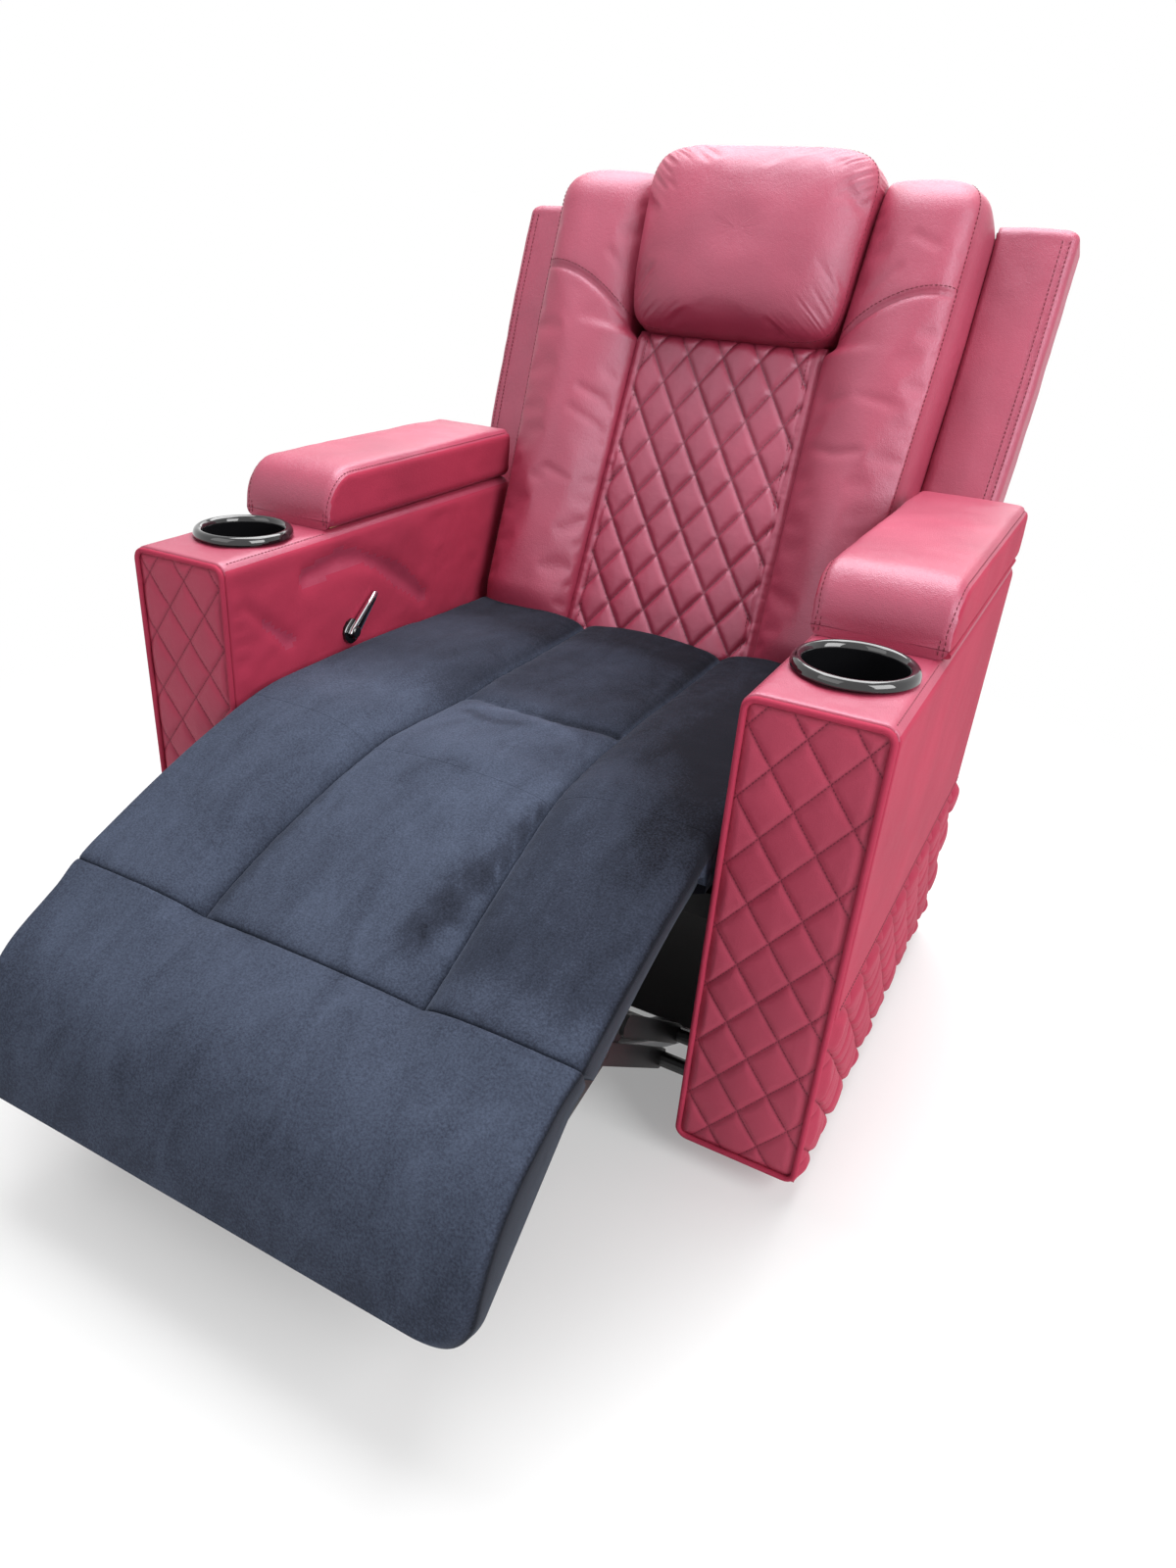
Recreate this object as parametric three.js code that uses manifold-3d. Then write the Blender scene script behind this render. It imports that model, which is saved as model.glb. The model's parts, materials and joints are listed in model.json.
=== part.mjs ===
// A cinema recliner seat: upholstered arms with cup holders and lidded bins, a winged backrest
// that reclines, a footrest on folding steel links and a ring base that the seat swivels on.
// Millimetres, +Z up. The seat faces -Y, and +X is the sitter's left hand side.
import * as THREE from "three";
import { mergeVertices } from "three/addons/utils/BufferGeometryUtils.js";
import Module from "manifold-3d";

const wasm = await Module();
wasm.setup();

// Overall sizes
const seatGap = 608; // between the arms
const armWidth = 141;
const armDepth = 640;
const armHeight = 531; // from the arm's bottom to its deck
const armFloorGap = 30;
const fit = 0.3; // gap between pieces that touch
const softGap = 4; // gap between soft pieces that only lie side by side

// Arms
const armCornerRadius = 16;
const weltRadius = 4.5;
const frontQuiltRise = 5;
const frontPanelFace = 7; // how far the front's sewn lines lie behind the piping's front
const quiltWide = 53;
const quiltTall = 84;
const sideQuiltHeight = 222;
const sideQuiltDepth = 7;
const sideQuiltRise = 7;

// Cup holders
const cupRimRadius = 60;
const cupRimWidth = 12;
const cupRimHeight = 8;
const cupRimFoot = 1; // height of the rim's straight edge
const cupWall = 2.5;
const cupDepth = 78;
const cupDraft = 3; // how much narrower the cup is at its floor
const cupCentreFromFront = 115;

// Storage bins under the lids
const binWall = 3;
const binDepth = 150;
const binEdge = 14; // left of the deck beside the bin
const binEnd = 24; // left of the deck before and behind the bin

// Lids
const lidFront = 195;
const lidRearInset = 5; // before the arm's rear end
const lidHeight = 71;
const lidFrontRadius = 42;
const lidEdgeRadius = 14;
const lidCrown = 3;
const lidBoardThick = 12;
const lidBoardInset = 8;
const lidPinRadius = 3;
const lidLeafThick = 1.5;
const lidLeafWidth = 22;

// Release lever on the inner side of one arm
const leverFromFront = 226;
const leverAboveSeat = 36.7; // from the height of the seat's sewn lines
const leverAngle = 41 * THREE.MathUtils.DEG2RAD; // above the level, pointing back
const leverLength = 66;
const leverWidth = 15;
const leverThick = 6;
const leverHubRadius = 11;
const bezelRadius = 17;
const bezelThick = 4;

// Base
const swivelFromFront = 350;
const ringRadius = 293;
const ringWidth = 44;
const ringHeight = 24;
const barWidth = 38;
const barHeight = 8;
const turnPlateSide = 200;
const turnPlateThick = 4;
const turnRaceRadius = 70;
const turnRaceHeight = 8;
const railWidth = 30;
const railHeight = 25;
const railTube = 2.5;
const railSpread = 140; // between the two rails' middles
const coverThick = 1.5; // the dust cover lies on the rails
const coverFront = 130;
const coverRear = 600;

// Steel side plates
const plateThick = 4;
const plateBottom = 36;
const plateTop = 318;
const plateFront = 24;
const plateRearInset = 12; // before the arm's rear end
const plateBandLow = 112; // height of the plate's lower band
const plateBandHigh = 50;
const plateHornTop = 376;
const plateHornWidth = 56;
const plateWindows = 4;
const plateWeb = 34;
const plateCorner = 10;

// Seat frame, springs and cushion
const seatRailWidth = 37;
const seatRailHeight = 30;
const crossRailHeight = 17; // the links pass below the front and rear rails
const crossRailWidth = 60;
const seatFront = 45;
const seatRailRearInset = 65; // before the arm's rear end
const springWire = 4;
const springCount = 2;
const springSwing = 24;
const springPitch = 53;
const seatCushionFront = 20;
const seatBackGap = 12; // before the backrest's foot
const seatSideGap = 7;

// The upholstered top from the backrest to the footrest, as heights above the floor
const sewnLineRear = 386; // the sewn lines beside the middle channel, near the back
const sewnLineFront = 388; // the same, where the seat ends
const sewnLineDrop = 294; // the same, at the footrest's cross seam
const channelRise = 11; // crown of the middle channel over its sewn lines
const boosterRise = 27; // crown of the side channels over the sewn lines
const boosterRiseFront = 24;
const seatEdgeDrop = 22;
const sewnHalfRear = 108; // from the middle to a sewn line
const sewnHalfFront = 132;
const crossSeamFront = 214; // the first cross seam, behind the arm's front
const chaiseReach = 237; // from the arm's front to the footrest's cross seam
const chaiseThick = 56;
const chaiseTuck = 3;

// Footrest
const footrestReach = 416; // from the arm's front to the footrest's lip
const footrestLip = 138; // height of the lip
const footrestBow = 44; // how far the pad bows out from its chord
const footrestPadThick = 18; // behind its chord, down to the board
const footrestBoardThick = 14;
const footrestBoardInset = 12;
const footrestSideRound = 14;

// Footrest linkage
const linkThick = 4.5;
const linkWidth = 24;
const linkPinRadius = 5;
const linkPinGap = 0.5;
const lowerLink = 212;
const upperLink = 230;
const linkSpread = 50; // between the two lower links
const linkInset = 38.5; // from the side plate to the outermost link
const studRadius = 9; // of the stud's shoulder between them
const upperLinkSlope = 10 * THREE.MathUtils.DEG2RAD;
const footPivotDepth = 62; // from the footrest's chord to its pivot
const footPivotBack = 52; // behind the arm's front when stowed
const footPivotStowed = 165; // its height when stowed
const torqueTubeRadius = 10;
const torqueTubeShare = 0.5; // its place along the lower link
const bracketFlange = 26;
const bracketSteel = 3;
const bracketLength = 120;

// Backrest, in its own leaning frame: up along the back, and forward out of it
const backLean = 20.5 * THREE.MathUtils.DEG2RAD;
const backFootBeforeRear = 84; // before the arm's rear end
const backFootHeight = 381;
const backTuck = 20; // how far the cushions reach below that point
const lumbarTop = 430;
const lumbarHalfFoot = 146;
const lumbarHalfTop = 136;
const lumbarQuiltWide = 57;
const lumbarQuiltTall = 80;
const lumbarRise = 8;
const cushionDepth = 97; // from the lumbar face back to the frame
const bolsterTop = 648;
const bolsterHalf = 292; // outer side between the arms
const bolsterBulge = 300; // outer side above the arms
const bolsterBulgeAt = 330;
const bolsterCrown = 48;
const bolsterSeam = 20;
const bolsterShoulder = 46;
const headFoot = 424;
const headTop = 666;
const headHalfFoot = 150;
const headHalfTop = 162;
const headCrown = 78;
const postWidth = 40;
const postDepth = 40;
const postDrop = 40; // how far the frame reaches below the backrest's foot
const postTop = 615;
const backRailHeight = 60;
const panelThick = 12;
const panelHalf = 288;
const panelTop = 636;
const wingFoot = 92;
const wingTop = 620;
const wingReach = 402;
const wingFace = 68; // behind the lumbar face
const wingThick = 74;
const wingRadius = 13;
const backPivotBeforeRear = 40; // before the arm's rear end
const backPivotHeight = 350;
const pivotBoss = 20;
const pivotPinRadius = 7;

// Places that follow from those sizes
const armInner = seatGap / 2;
const armOuter = armInner + armWidth;
const deckHeight = armFloorGap + armHeight;
const armMiddle = (armInner + armOuter) / 2;
const plateInner = armInner - fit - plateThick;
const seatRailTop = plateTop + softGap;
const seatRailBottom = seatRailTop - seatRailHeight;
const seatRailOuter = plateInner - fit;
const springBottom = seatRailTop + fit;
const cushionBottom = springBottom + springWire + fit;
const seatHalf = armInner - seatSideGap;
const lidRear = armDepth - lidRearInset;
const plateRear = armDepth - plateRearInset;
const seatRear = armDepth - seatRailRearInset;
const backFootFromFront = armDepth - backFootBeforeRear;
const backPivotFromFront = armDepth - backPivotBeforeRear;
const seatCushionRear = backFootFromFront - seatBackGap;
const postFoot = -postDrop;
// From the side plate inwards lie the lower links, the upper link and the footrest bracket
const lowerOuter = plateInner - linkInset;
const lowerInner = lowerOuter - linkThick;
const upperOuter = lowerInner - fit;
const upperInner = upperOuter - linkThick;
const bracketOuter = upperInner - fit;

const leather = { color: 0x8a2436, roughness: 0.42, metalness: 0 };
const velvet = { color: 0x14161f, roughness: 0.9, metalness: 0 };
const blackSteel = { color: 0x17181a, roughness: 0.45, metalness: 0.6 };
const silverSteel = { color: 0xa6a8aa, roughness: 0.35, metalness: 0.9 };
const glossBlack = { color: 0x0b0b0d, roughness: 0.12, metalness: 0 };
const mattBlack = { color: 0x161616, roughness: 0.7, metalness: 0 };
const lining = { color: 0x121316, roughness: 0.95, metalness: 0 };
const timber = { color: 0xb89468, roughness: 0.75, metalness: 0 };
const chrome = { color: 0xd8dade, roughness: 0.1, metalness: 1 };

// Small helpers
function vec(x, y, z) {
  return new THREE.Vector3(x, y, z);
}

function mix(a, b, share) {
  return a + (b - a) * share;
}

function smooth(share) {
  const t = Math.min(1, Math.max(0, share));
  return t * t * (3 - 2 * t);
}

function mesh(parent, name, geometry, look) {
  const piece = new THREE.Mesh(geometry, new THREE.MeshStandardMaterial(look));
  piece.name = name;
  parent.add(piece);
  return piece;
}

function closed(geometry) {
  const clean = geometry.clone();
  for (const name of Object.keys(clean.attributes)) {
    if (name !== "position") clean.deleteAttribute(name);
  }
  return mergeVertices(clean, 1e-4);
}

function signedVolume(geometry) {
  const place = geometry.getAttribute("position");
  const index = geometry.getIndex().array;
  const a = vec(0, 0, 0);
  const b = vec(0, 0, 0);
  const c = vec(0, 0, 0);
  let sum = 0;
  for (let i = 0; i < index.length; i += 3) {
    a.fromBufferAttribute(place, index[i]);
    b.fromBufferAttribute(place, index[i + 1]);
    c.fromBufferAttribute(place, index[i + 2]);
    sum += a.dot(b.cross(c));
  }
  return sum;
}

function fromTriangles(points, faces) {
  const geometry = new THREE.BufferGeometry();
  const flat = points.flatMap((p) => [p.x, p.y, p.z]);
  geometry.setAttribute("position", new THREE.Float32BufferAttribute(flat, 3));
  geometry.setIndex(faces.flat());
  if (signedVolume(geometry) < 0) {
    geometry.setIndex(faces.flatMap(([a, b, c]) => [a, c, b]));
  }
  return geometry;
}

function mirrored(geometry) {
  const clean = closed(geometry);
  const points = [];
  const place = clean.getAttribute("position");
  for (let i = 0; i < place.count; i += 1) {
    points.push(vec(-place.getX(i), place.getY(i), place.getZ(i)));
  }
  const index = clean.getIndex().array;
  const faces = [];
  for (let i = 0; i < index.length; i += 3) faces.push([index[i], index[i + 2], index[i + 1]]);
  return fromTriangles(points, faces);
}

function solid(geometry) {
  const clean = closed(geometry);
  return new wasm.Manifold(
    new wasm.Mesh({
      numProp: 3,
      vertProperties: new Float32Array(clean.getAttribute("position").array),
      triVerts: new Uint32Array(clean.getIndex().array),
    }),
  );
}

function unsolid(manifold) {
  const result = manifold.getMesh();
  const geometry = new THREE.BufferGeometry();
  geometry.setAttribute("position", new THREE.BufferAttribute(result.vertProperties.slice(), 3));
  geometry.setIndex(new THREE.BufferAttribute(result.triVerts.slice(), 1));
  return geometry;
}

function joined(...geometries) {
  return unsolid(geometries.map(solid).reduce((a, b) => a.add(b)));
}

function cut(geometry, ...tools) {
  return unsolid(tools.map(solid).reduce((a, b) => a.subtract(b), solid(geometry)));
}

function block(low, high) {
  const size = high.clone().sub(low);
  const middle = low.clone().add(high).multiplyScalar(0.5);
  return new THREE.BoxGeometry(size.x, size.y, size.z).translate(middle.x, middle.y, middle.z);
}

// Rings of points, all alike in number, skinned and closed at both ends
function loft(rings) {
  const count = rings[0].length;
  const points = rings.flat();
  const faces = [];
  for (let i = 0; i + 1 < rings.length; i += 1) {
    for (let j = 0; j < count; j += 1) {
      const next = (j + 1) % count;
      const a = i * count + j;
      const b = i * count + next;
      faces.push([a, b, b + count], [a, b + count, a + count]);
    }
  }
  for (const [ring, turned] of [[0, true], [rings.length - 1, false]]) {
    const hub = points.length;
    const middle = rings[ring].reduce((sum, p) => sum.add(p), vec(0, 0, 0));
    points.push(middle.divideScalar(count));
    for (let j = 0; j < count; j += 1) {
      const a = ring * count + j;
      const b = ring * count + ((j + 1) % count);
      faces.push(turned ? [hub, b, a] : [hub, a, b]);
    }
  }
  return fromTriangles(points, faces);
}

// A sheet with a shaped face and a back, joined round its edge. Each face takes shares across and
// along. slant says which way each cell of the face is split.
function slab(across, along, face, back, slant = () => false) {
  const points = [];
  const faces = [];
  const at = (side, i, j) => side * (across + 1) * (along + 1) + j * (across + 1) + i;
  for (const place of [face, back]) {
    for (let j = 0; j <= along; j += 1) {
      for (let i = 0; i <= across; i += 1) points.push(place(i / across, j / along));
    }
  }
  for (let j = 0; j < along; j += 1) {
    for (let i = 0; i < across; i += 1) {
      const f = [at(0, i, j), at(0, i + 1, j), at(0, i + 1, j + 1), at(0, i, j + 1)];
      const k = [at(1, i, j), at(1, i, j + 1), at(1, i + 1, j + 1), at(1, i + 1, j)];
      if (slant(i, j)) faces.push([f[0], f[1], f[3]], [f[1], f[2], f[3]]);
      else faces.push([f[0], f[1], f[2]], [f[0], f[2], f[3]]);
      faces.push([k[0], k[1], k[2]], [k[0], k[2], k[3]]);
    }
  }
  const wall = (i0, j0, i1, j1) => {
    const a = at(0, i0, j0);
    const b = at(0, i1, j1);
    const c = at(1, i1, j1);
    const d = at(1, i0, j0);
    faces.push([a, c, b], [a, d, c]);
  };
  for (let i = 0; i < across; i += 1) {
    wall(i, 0, i + 1, 0);
    wall(across - i, along, across - i - 1, along);
  }
  for (let j = 0; j < along; j += 1) {
    wall(across, j, across, j + 1);
    wall(0, along - j, 0, along - j - 1);
  }
  return fromTriangles(points, faces);
}

// A flat back for a slab whose back needs only its edge: a fan round the middle
function panel(across, along, face, back, slant = () => false) {
  const points = [];
  const faces = [];
  const at = (i, j) => j * (across + 1) + i;
  for (let j = 0; j <= along; j += 1) {
    for (let i = 0; i <= across; i += 1) points.push(face(i / across, j / along));
  }
  for (let j = 0; j < along; j += 1) {
    for (let i = 0; i < across; i += 1) {
      const f = [at(i, j), at(i + 1, j), at(i + 1, j + 1), at(i, j + 1)];
      if (slant(i, j)) faces.push([f[0], f[1], f[3]], [f[1], f[2], f[3]]);
      else faces.push([f[0], f[1], f[2]], [f[0], f[2], f[3]]);
    }
  }
  const edge = [];
  for (let i = 0; i < across; i += 1) edge.push([i, 0]);
  for (let j = 0; j < along; j += 1) edge.push([across, j]);
  for (let i = across; i > 0; i -= 1) edge.push([i, along]);
  for (let j = along; j > 0; j -= 1) edge.push([0, j]);
  const first = points.length;
  for (const [i, j] of edge) points.push(back(i / across, j / along));
  const hub = points.length;
  points.push(back(0.5, 0.5));
  edge.forEach(([i, j], n) => {
    const m = (n + 1) % edge.length;
    const [p, q] = edge[m];
    faces.push([at(i, j), first + n, at(p, q)], [at(p, q), first + n, first + m]);
    faces.push([hub, first + m, first + n]);
  });
  return fromTriangles(points, faces);
}

function outline(points) {
  return new THREE.Shape(points.map(([a, b]) => new THREE.Vector2(a, b)));
}

function roundedBox(shape, low, high, radius) {
  const [x0, y0] = low;
  const [x1, y1] = high;
  shape.moveTo(x0 + radius, y0);
  shape.lineTo(x1 - radius, y0);
  shape.absarc(x1 - radius, y0 + radius, radius, -Math.PI / 2, 0);
  shape.lineTo(x1, y1 - radius);
  shape.absarc(x1 - radius, y1 - radius, radius, 0, Math.PI / 2);
  shape.lineTo(x0 + radius, y1);
  shape.absarc(x0 + radius, y1 - radius, radius, Math.PI / 2, Math.PI);
  shape.lineTo(x0, y0 + radius);
  shape.absarc(x0 + radius, y0 + radius, radius, Math.PI, Math.PI * 1.5);
  return shape;
}

function circleHole(y, z, radius) {
  const hole = new THREE.Path();
  hole.absarc(y, z, radius, 0, Math.PI * 2);
  return hole;
}

function disc(y, z, radius) {
  const shape = new THREE.Shape();
  shape.absarc(y, z, radius, 0, Math.PI * 2);
  return shape;
}

// Shapes drawn in a plane and pushed along the third axis between two places
const roundSteps = 6;

function pushed(shape, from, to, basis) {
  const settings = { depth: to - from, bevelEnabled: false, curveSegments: roundSteps };
  return new THREE.ExtrudeGeometry(shape, settings).translate(0, 0, from).applyMatrix4(basis);
}

const alongX = new THREE.Matrix4().makeBasis(vec(0, 1, 0), vec(0, 0, 1), vec(1, 0, 0));
const alongY = new THREE.Matrix4().makeBasis(vec(1, 0, 0), vec(0, 0, 1), vec(0, -1, 0));
const alongZ = new THREE.Matrix4();

function pushX(shape, from, to) {
  return pushed(shape, from, to, alongX);
}

function pushY(shape, from, to) {
  return pushed(shape, -to, -from, alongY);
}

function pushZ(shape, from, to) {
  return pushed(shape, from, to, alongZ);
}

// Stitched diamonds: 0 on a sewn line and 1 in the middle of a diamond
function diamond(across, along, wide, tall) {
  const u = across / wide + along / tall;
  const v = across / wide - along / tall;
  return Math.sqrt(Math.abs(Math.sin(Math.PI * u) * Math.sin(Math.PI * v)));
}

// Which way to split the cells of a grid that has some cells to each diamond
function diamondSplit(cells) {
  return (i, j) => (((i + j + 1) % cells) + cells) % cells === 0 || (i + j) % 2 === 0;
}

// The surface from the backrest to the footrest's cross seam
function sewnHalf(y) {
  return mix(sewnHalfRear, sewnHalfFront, smooth((crossSeamFront - y) / (crossSeamFront + chaiseReach)));
}

const slopeStart = 60;

function sewnHeight(y) {
  if (y >= slopeStart) {
    return mix(sewnLineFront, sewnLineRear, (y - slopeStart) / (seatCushionRear - slopeStart));
  }
  const share = (slopeStart - y) / (slopeStart + chaiseReach);
  return sewnLineFront - (sewnLineFront - sewnLineDrop) * share ** 1.45;
}

function boosterHeight(y) {
  const back = smooth((y - crossSeamFront) / (seatCushionRear - crossSeamFront));
  const front = smooth((crossSeamFront - y) / (crossSeamFront + chaiseReach));
  return boosterRise * (1 - back) + (boosterRiseFront - boosterRise) * front;
}

function seatSurface(x, y) {
  const half = sewnHalf(y);
  const away = Math.abs(x);
  if (away <= half) return sewnHeight(y) + channelRise * (1 - (away / half) ** 2);
  const share = (away - half) / (seatHalf - half);
  const bump = 1 - Math.abs(2 * share - 1) ** 2.6;
  return sewnHeight(y) + boosterHeight(y) * bump - seatEdgeDrop * smooth((share - 0.8) / 0.2);
}

// Places across the seat that keep a grid line on each sewn line
const acrossCells = 16;

function seatAcross(share, y) {
  const cell = share * acrossCells - acrossCells / 2;
  const inner = 3;
  const away = Math.abs(cell);
  const half = sewnHalf(y);
  if (away <= inner) return (Math.sign(cell) * half * away) / inner;
  const rest = (away - inner) / (acrossCells / 2 - inner);
  return Math.sign(cell) * mix(half, seatHalf, rest);
}

function seatCushion(parent) {
  const rows = 14;
  const rearLean = Math.tan(backLean);
  const yAt = (v) => mix(seatCushionFront, seatCushionRear, v);
  const top = (u, v) => {
    const y = yAt(v);
    const x = seatAcross(u, y);
    return vec(x, y, seatSurface(x, y));
  };
  const bottom = (u, v) => {
    const lean = v * rearLean * (sewnLineRear - cushionBottom);
    const y = yAt(v) - lean;
    return vec(mix(-seatHalf, seatHalf, u), y, cushionBottom);
  };
  mesh(parent, "seat_cushion", slab(acrossCells, rows, top, bottom), velvet);
}

function chaisePad(parent) {
  const rows = 7;
  const yAt = (v) => mix(-chaiseReach, seatCushionFront - fit, v);
  const mitreShare = -footOut.x / footOut.y; // the front end leans with the footrest pad's end
  const top = (u, v) => {
    const y = yAt(v);
    const x = seatAcross(u, y);
    const z = seatSurface(x, y);
    return vec(x, y + mitreShare * (1 - v) * Math.max(0, sewnHeight(y) - z), z);
  };
  const bottom = (u, v) => {
    const y = yAt(v);
    const x = mix(-seatHalf + chaiseTuck, seatHalf - chaiseTuck, u);
    return vec(x, y + mitreShare * (1 - v) * chaiseThick, sewnHeight(y) - chaiseThick);
  };
  mesh(parent, "chaise_pad", slab(acrossCells, rows, top, bottom), velvet);
}

// Footrest: its own frame has X across, +Y out of the pad and +Z from the lip up to the cross seam
const footTop = new THREE.Vector2(-chaiseReach, sewnLineDrop);
const footLip = new THREE.Vector2(-footrestReach, footrestLip);
const footChord = footTop.distanceTo(footLip);
const footMiddle = footTop.clone().add(footLip).multiplyScalar(0.5);
const footAlong = footTop.clone().sub(footLip).normalize();
const footOut = new THREE.Vector2(-footAlong.y, footAlong.x);
const footPivot = footMiddle.clone().addScaledVector(footOut, -footPivotDepth);
const footPivotEnd = new THREE.Vector2(footPivotBack, footPivotStowed);

// The linkage: the lower links swing from the side plates and carry the upper links level
const upperArm = new THREE.Vector2(-Math.cos(upperLinkSlope), -Math.sin(upperLinkSlope)).multiplyScalar(upperLink);
const knee = footPivot.clone().sub(upperArm);
const kneeEnd = footPivotEnd.clone().sub(upperArm);
const lowerPivot = swingCentre(knee, kneeEnd, lowerLink);
const partnerStep = new THREE.Vector2(-linkSpread, 0);
const partnerPivot = lowerPivot.clone().add(partnerStep);
const partnerKnee = knee.clone().add(partnerStep);

function swingCentre(a, b, radius) {
  const middle = a.clone().add(b).multiplyScalar(0.5);
  const half = a.distanceTo(b) / 2;
  const down = new THREE.Vector2(b.y - a.y, a.x - b.x).normalize();
  return middle.addScaledVector(down, Math.sqrt(radius * radius - half * half));
}

function footrestFrame() {
  const frame = new THREE.Group();
  frame.position.set(0, footMiddle.x, footMiddle.y);
  frame.rotation.x = Math.atan2(footAlong.y, footAlong.x) - Math.PI / 2;
  return frame;
}

function footrest(parent) {
  const frame = footrestFrame();
  parent.add(frame);
  const half = footChord / 2;
  const padHalf = seatHalf - chaiseTuck;
  const rows = 9;
  const columns = 12;
  const face = (u, v) => {
    const x = mix(-padHalf, padHalf, u);
    const z = mix(-half, half - fit, v);
    const side = Math.max(0, Math.abs(2 * u - 1) - 0.8) / 0.2;
    const bow = footrestBow * (1 - Math.abs(2 * v - 1) ** 2.4) * (1 - (side * side) / 3);
    const seam = (seatSurface(x, -chaiseReach) - sewnLineDrop) * footOut.y * smooth((v - 0.6) / 0.4);
    return vec(x, -bow - Math.max(0, seam) + (footrestSideRound * side * side) / 2, z);
  };
  const back = (u, v) => {
    const x = mix(-padHalf + chaiseTuck, padHalf - chaiseTuck, u);
    return vec(x, footrestPadThick, mix(-half + chaiseTuck, half - chaiseTuck, v));
  };
  mesh(frame, "footrest_pad", panel(columns, rows, face, back), velvet);
  const boardHalf = padHalf - footrestBoardInset;
  const boardFront = footrestPadThick + fit;
  const boardBack = boardFront + footrestBoardThick;
  const board = roundedBox(
    new THREE.Shape(),
    [-boardHalf, -half + footrestBoardInset],
    [boardHalf, half - footrestBoardInset],
    footrestBoardInset,
  );
  mesh(frame, "footrest_board", pushY(board, boardFront, boardBack), timber);
  bothSides(frame, "footrest_bracket", () => footrestBracket(boardBack + fit), blackSteel);
}

// The bracket is an angle: a flange on the board, and a web that carries the pivot
function footrestBracket(face) {
  const outer = bracketOuter;
  const web = new THREE.Shape();
  const halfLength = bracketLength / 2;
  const boss = linkWidth / 2;
  web.moveTo(face, -halfLength);
  web.lineTo(face + bracketSteel, -halfLength);
  web.lineTo(footPivotDepth, -boss);
  web.absarc(footPivotDepth, 0, boss, -Math.PI / 2, Math.PI / 2);
  web.lineTo(face + bracketSteel, halfLength);
  web.lineTo(face, halfLength);
  web.holes.push(circleHole(footPivotDepth, 0, linkPinRadius + linkPinGap));
  const flange = block(
    vec(outer - bracketFlange, face, -halfLength),
    vec(outer, face + bracketSteel, halfLength),
  );
  return joined(pushX(web, outer - linkThick, outer), flange);
}

function bothSides(parent, name, make, look) {
  const right = make();
  mesh(parent, `${name}_R`, right, look);
  mesh(parent, `${name}_L`, mirrored(right), look);
}

// A flat bar with round ends between two pivots, and a hole at each
function linkShape(a, b, holes) {
  const shape = new THREE.Shape();
  const turn = Math.atan2(b.y - a.y, b.x - a.x);
  shape.absarc(b.x, b.y, linkWidth / 2, turn - Math.PI / 2, turn + Math.PI / 2);
  shape.absarc(a.x, a.y, linkWidth / 2, turn + Math.PI / 2, turn + Math.PI * 1.5);
  for (const hole of holes) {
    shape.holes.push(circleHole(hole.x, hole.y, linkPinRadius + linkPinGap));
  }
  return shape;
}

function kneeHole() {
  return pushX(disc(knee.x, knee.y, linkPinRadius + linkPinGap), upperInner - fit, upperOuter + fit);
}

function pin(place, from, to) {
  return pushX(disc(place.x, place.y, linkPinRadius), from, to);
}

function linkage(parent) {
  const tubePlace = lowerPivot.clone().lerp(knee, torqueTubeShare);
  bothSides(
    parent,
    "lower_link",
    () =>
      joined(
        pushX(linkShape(lowerPivot, knee, [lowerPivot]), lowerInner, lowerOuter),
        pin(knee, upperInner, lowerOuter),
      ),
    blackSteel,
  );
  bothSides(
    parent,
    "rear_link",
    () => pushX(linkShape(partnerPivot, partnerKnee, [partnerPivot, partnerKnee]), lowerInner, lowerOuter),
    blackSteel,
  );
  bothSides(
    parent,
    "upper_link",
    () =>
      joined(
        pushX(linkShape(knee, footPivot, [knee]), upperInner, upperOuter),
        cut(pushX(linkShape(knee, partnerKnee, []), upperInner, upperOuter), kneeHole()),
        pin(footPivot, upperInner - fit - linkThick, upperOuter),
        pin(partnerKnee, upperInner, lowerOuter),
      ),
    blackSteel,
  );
  const tube = new THREE.Shape();
  tube.absarc(tubePlace.x, tubePlace.y, torqueTubeRadius, 0, Math.PI * 2);
  mesh(parent, "torque_tube", pushX(tube, -lowerInner + fit, lowerInner - fit), blackSteel);
}

// Steel side plates that the arms, the seat rails and the links bolt to
function sidePlates(parent) {
  const make = () => {
    const horn = plateRear - plateHornWidth;
    const shape = new THREE.Shape();
    shape.moveTo(plateFront + plateCorner, plateBottom);
    shape.lineTo(plateRear - plateCorner, plateBottom);
    shape.lineTo(plateRear, plateBottom + plateCorner);
    shape.lineTo(plateRear, plateHornTop - plateHornWidth / 2);
    shape.absarc(horn + plateHornWidth / 2, plateHornTop - plateHornWidth / 2, plateHornWidth / 2, 0, Math.PI);
    shape.lineTo(horn, plateTop);
    shape.lineTo(plateFront + plateCorner, plateTop);
    shape.lineTo(plateFront, plateTop - plateCorner);
    shape.lineTo(plateFront, plateBottom + plateCorner);
    const windowLow = plateBottom + plateBandLow;
    const windowHigh = plateTop - plateBandHigh;
    const pitch = (plateRear - plateFront - plateWeb) / plateWindows;
    for (let i = 0; i < plateWindows; i += 1) {
      const start = plateFront + plateWeb + i * pitch;
      const hole = roundedBox(
        new THREE.Path(),
        [start, windowLow],
        [start + pitch - plateWeb, windowHigh],
        plateCorner,
      );
      shape.holes.push(hole);
    }
    shape.holes.push(circleHole(backPivotFromFront, backPivotHeight, pivotPinRadius + linkPinGap));
    const outerFace = plateInner + plateThick;
    const studs = [lowerPivot, partnerPivot].map((p) =>
      joined(pin(p, lowerInner, outerFace), pushX(disc(p.x, p.y, studRadius), lowerOuter + fit, outerFace)),
    );
    return joined(pushX(shape, plateInner, outerFace), ...studs);
  };
  bothSides(parent, "side_plate", make, blackSteel);
}

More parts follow.
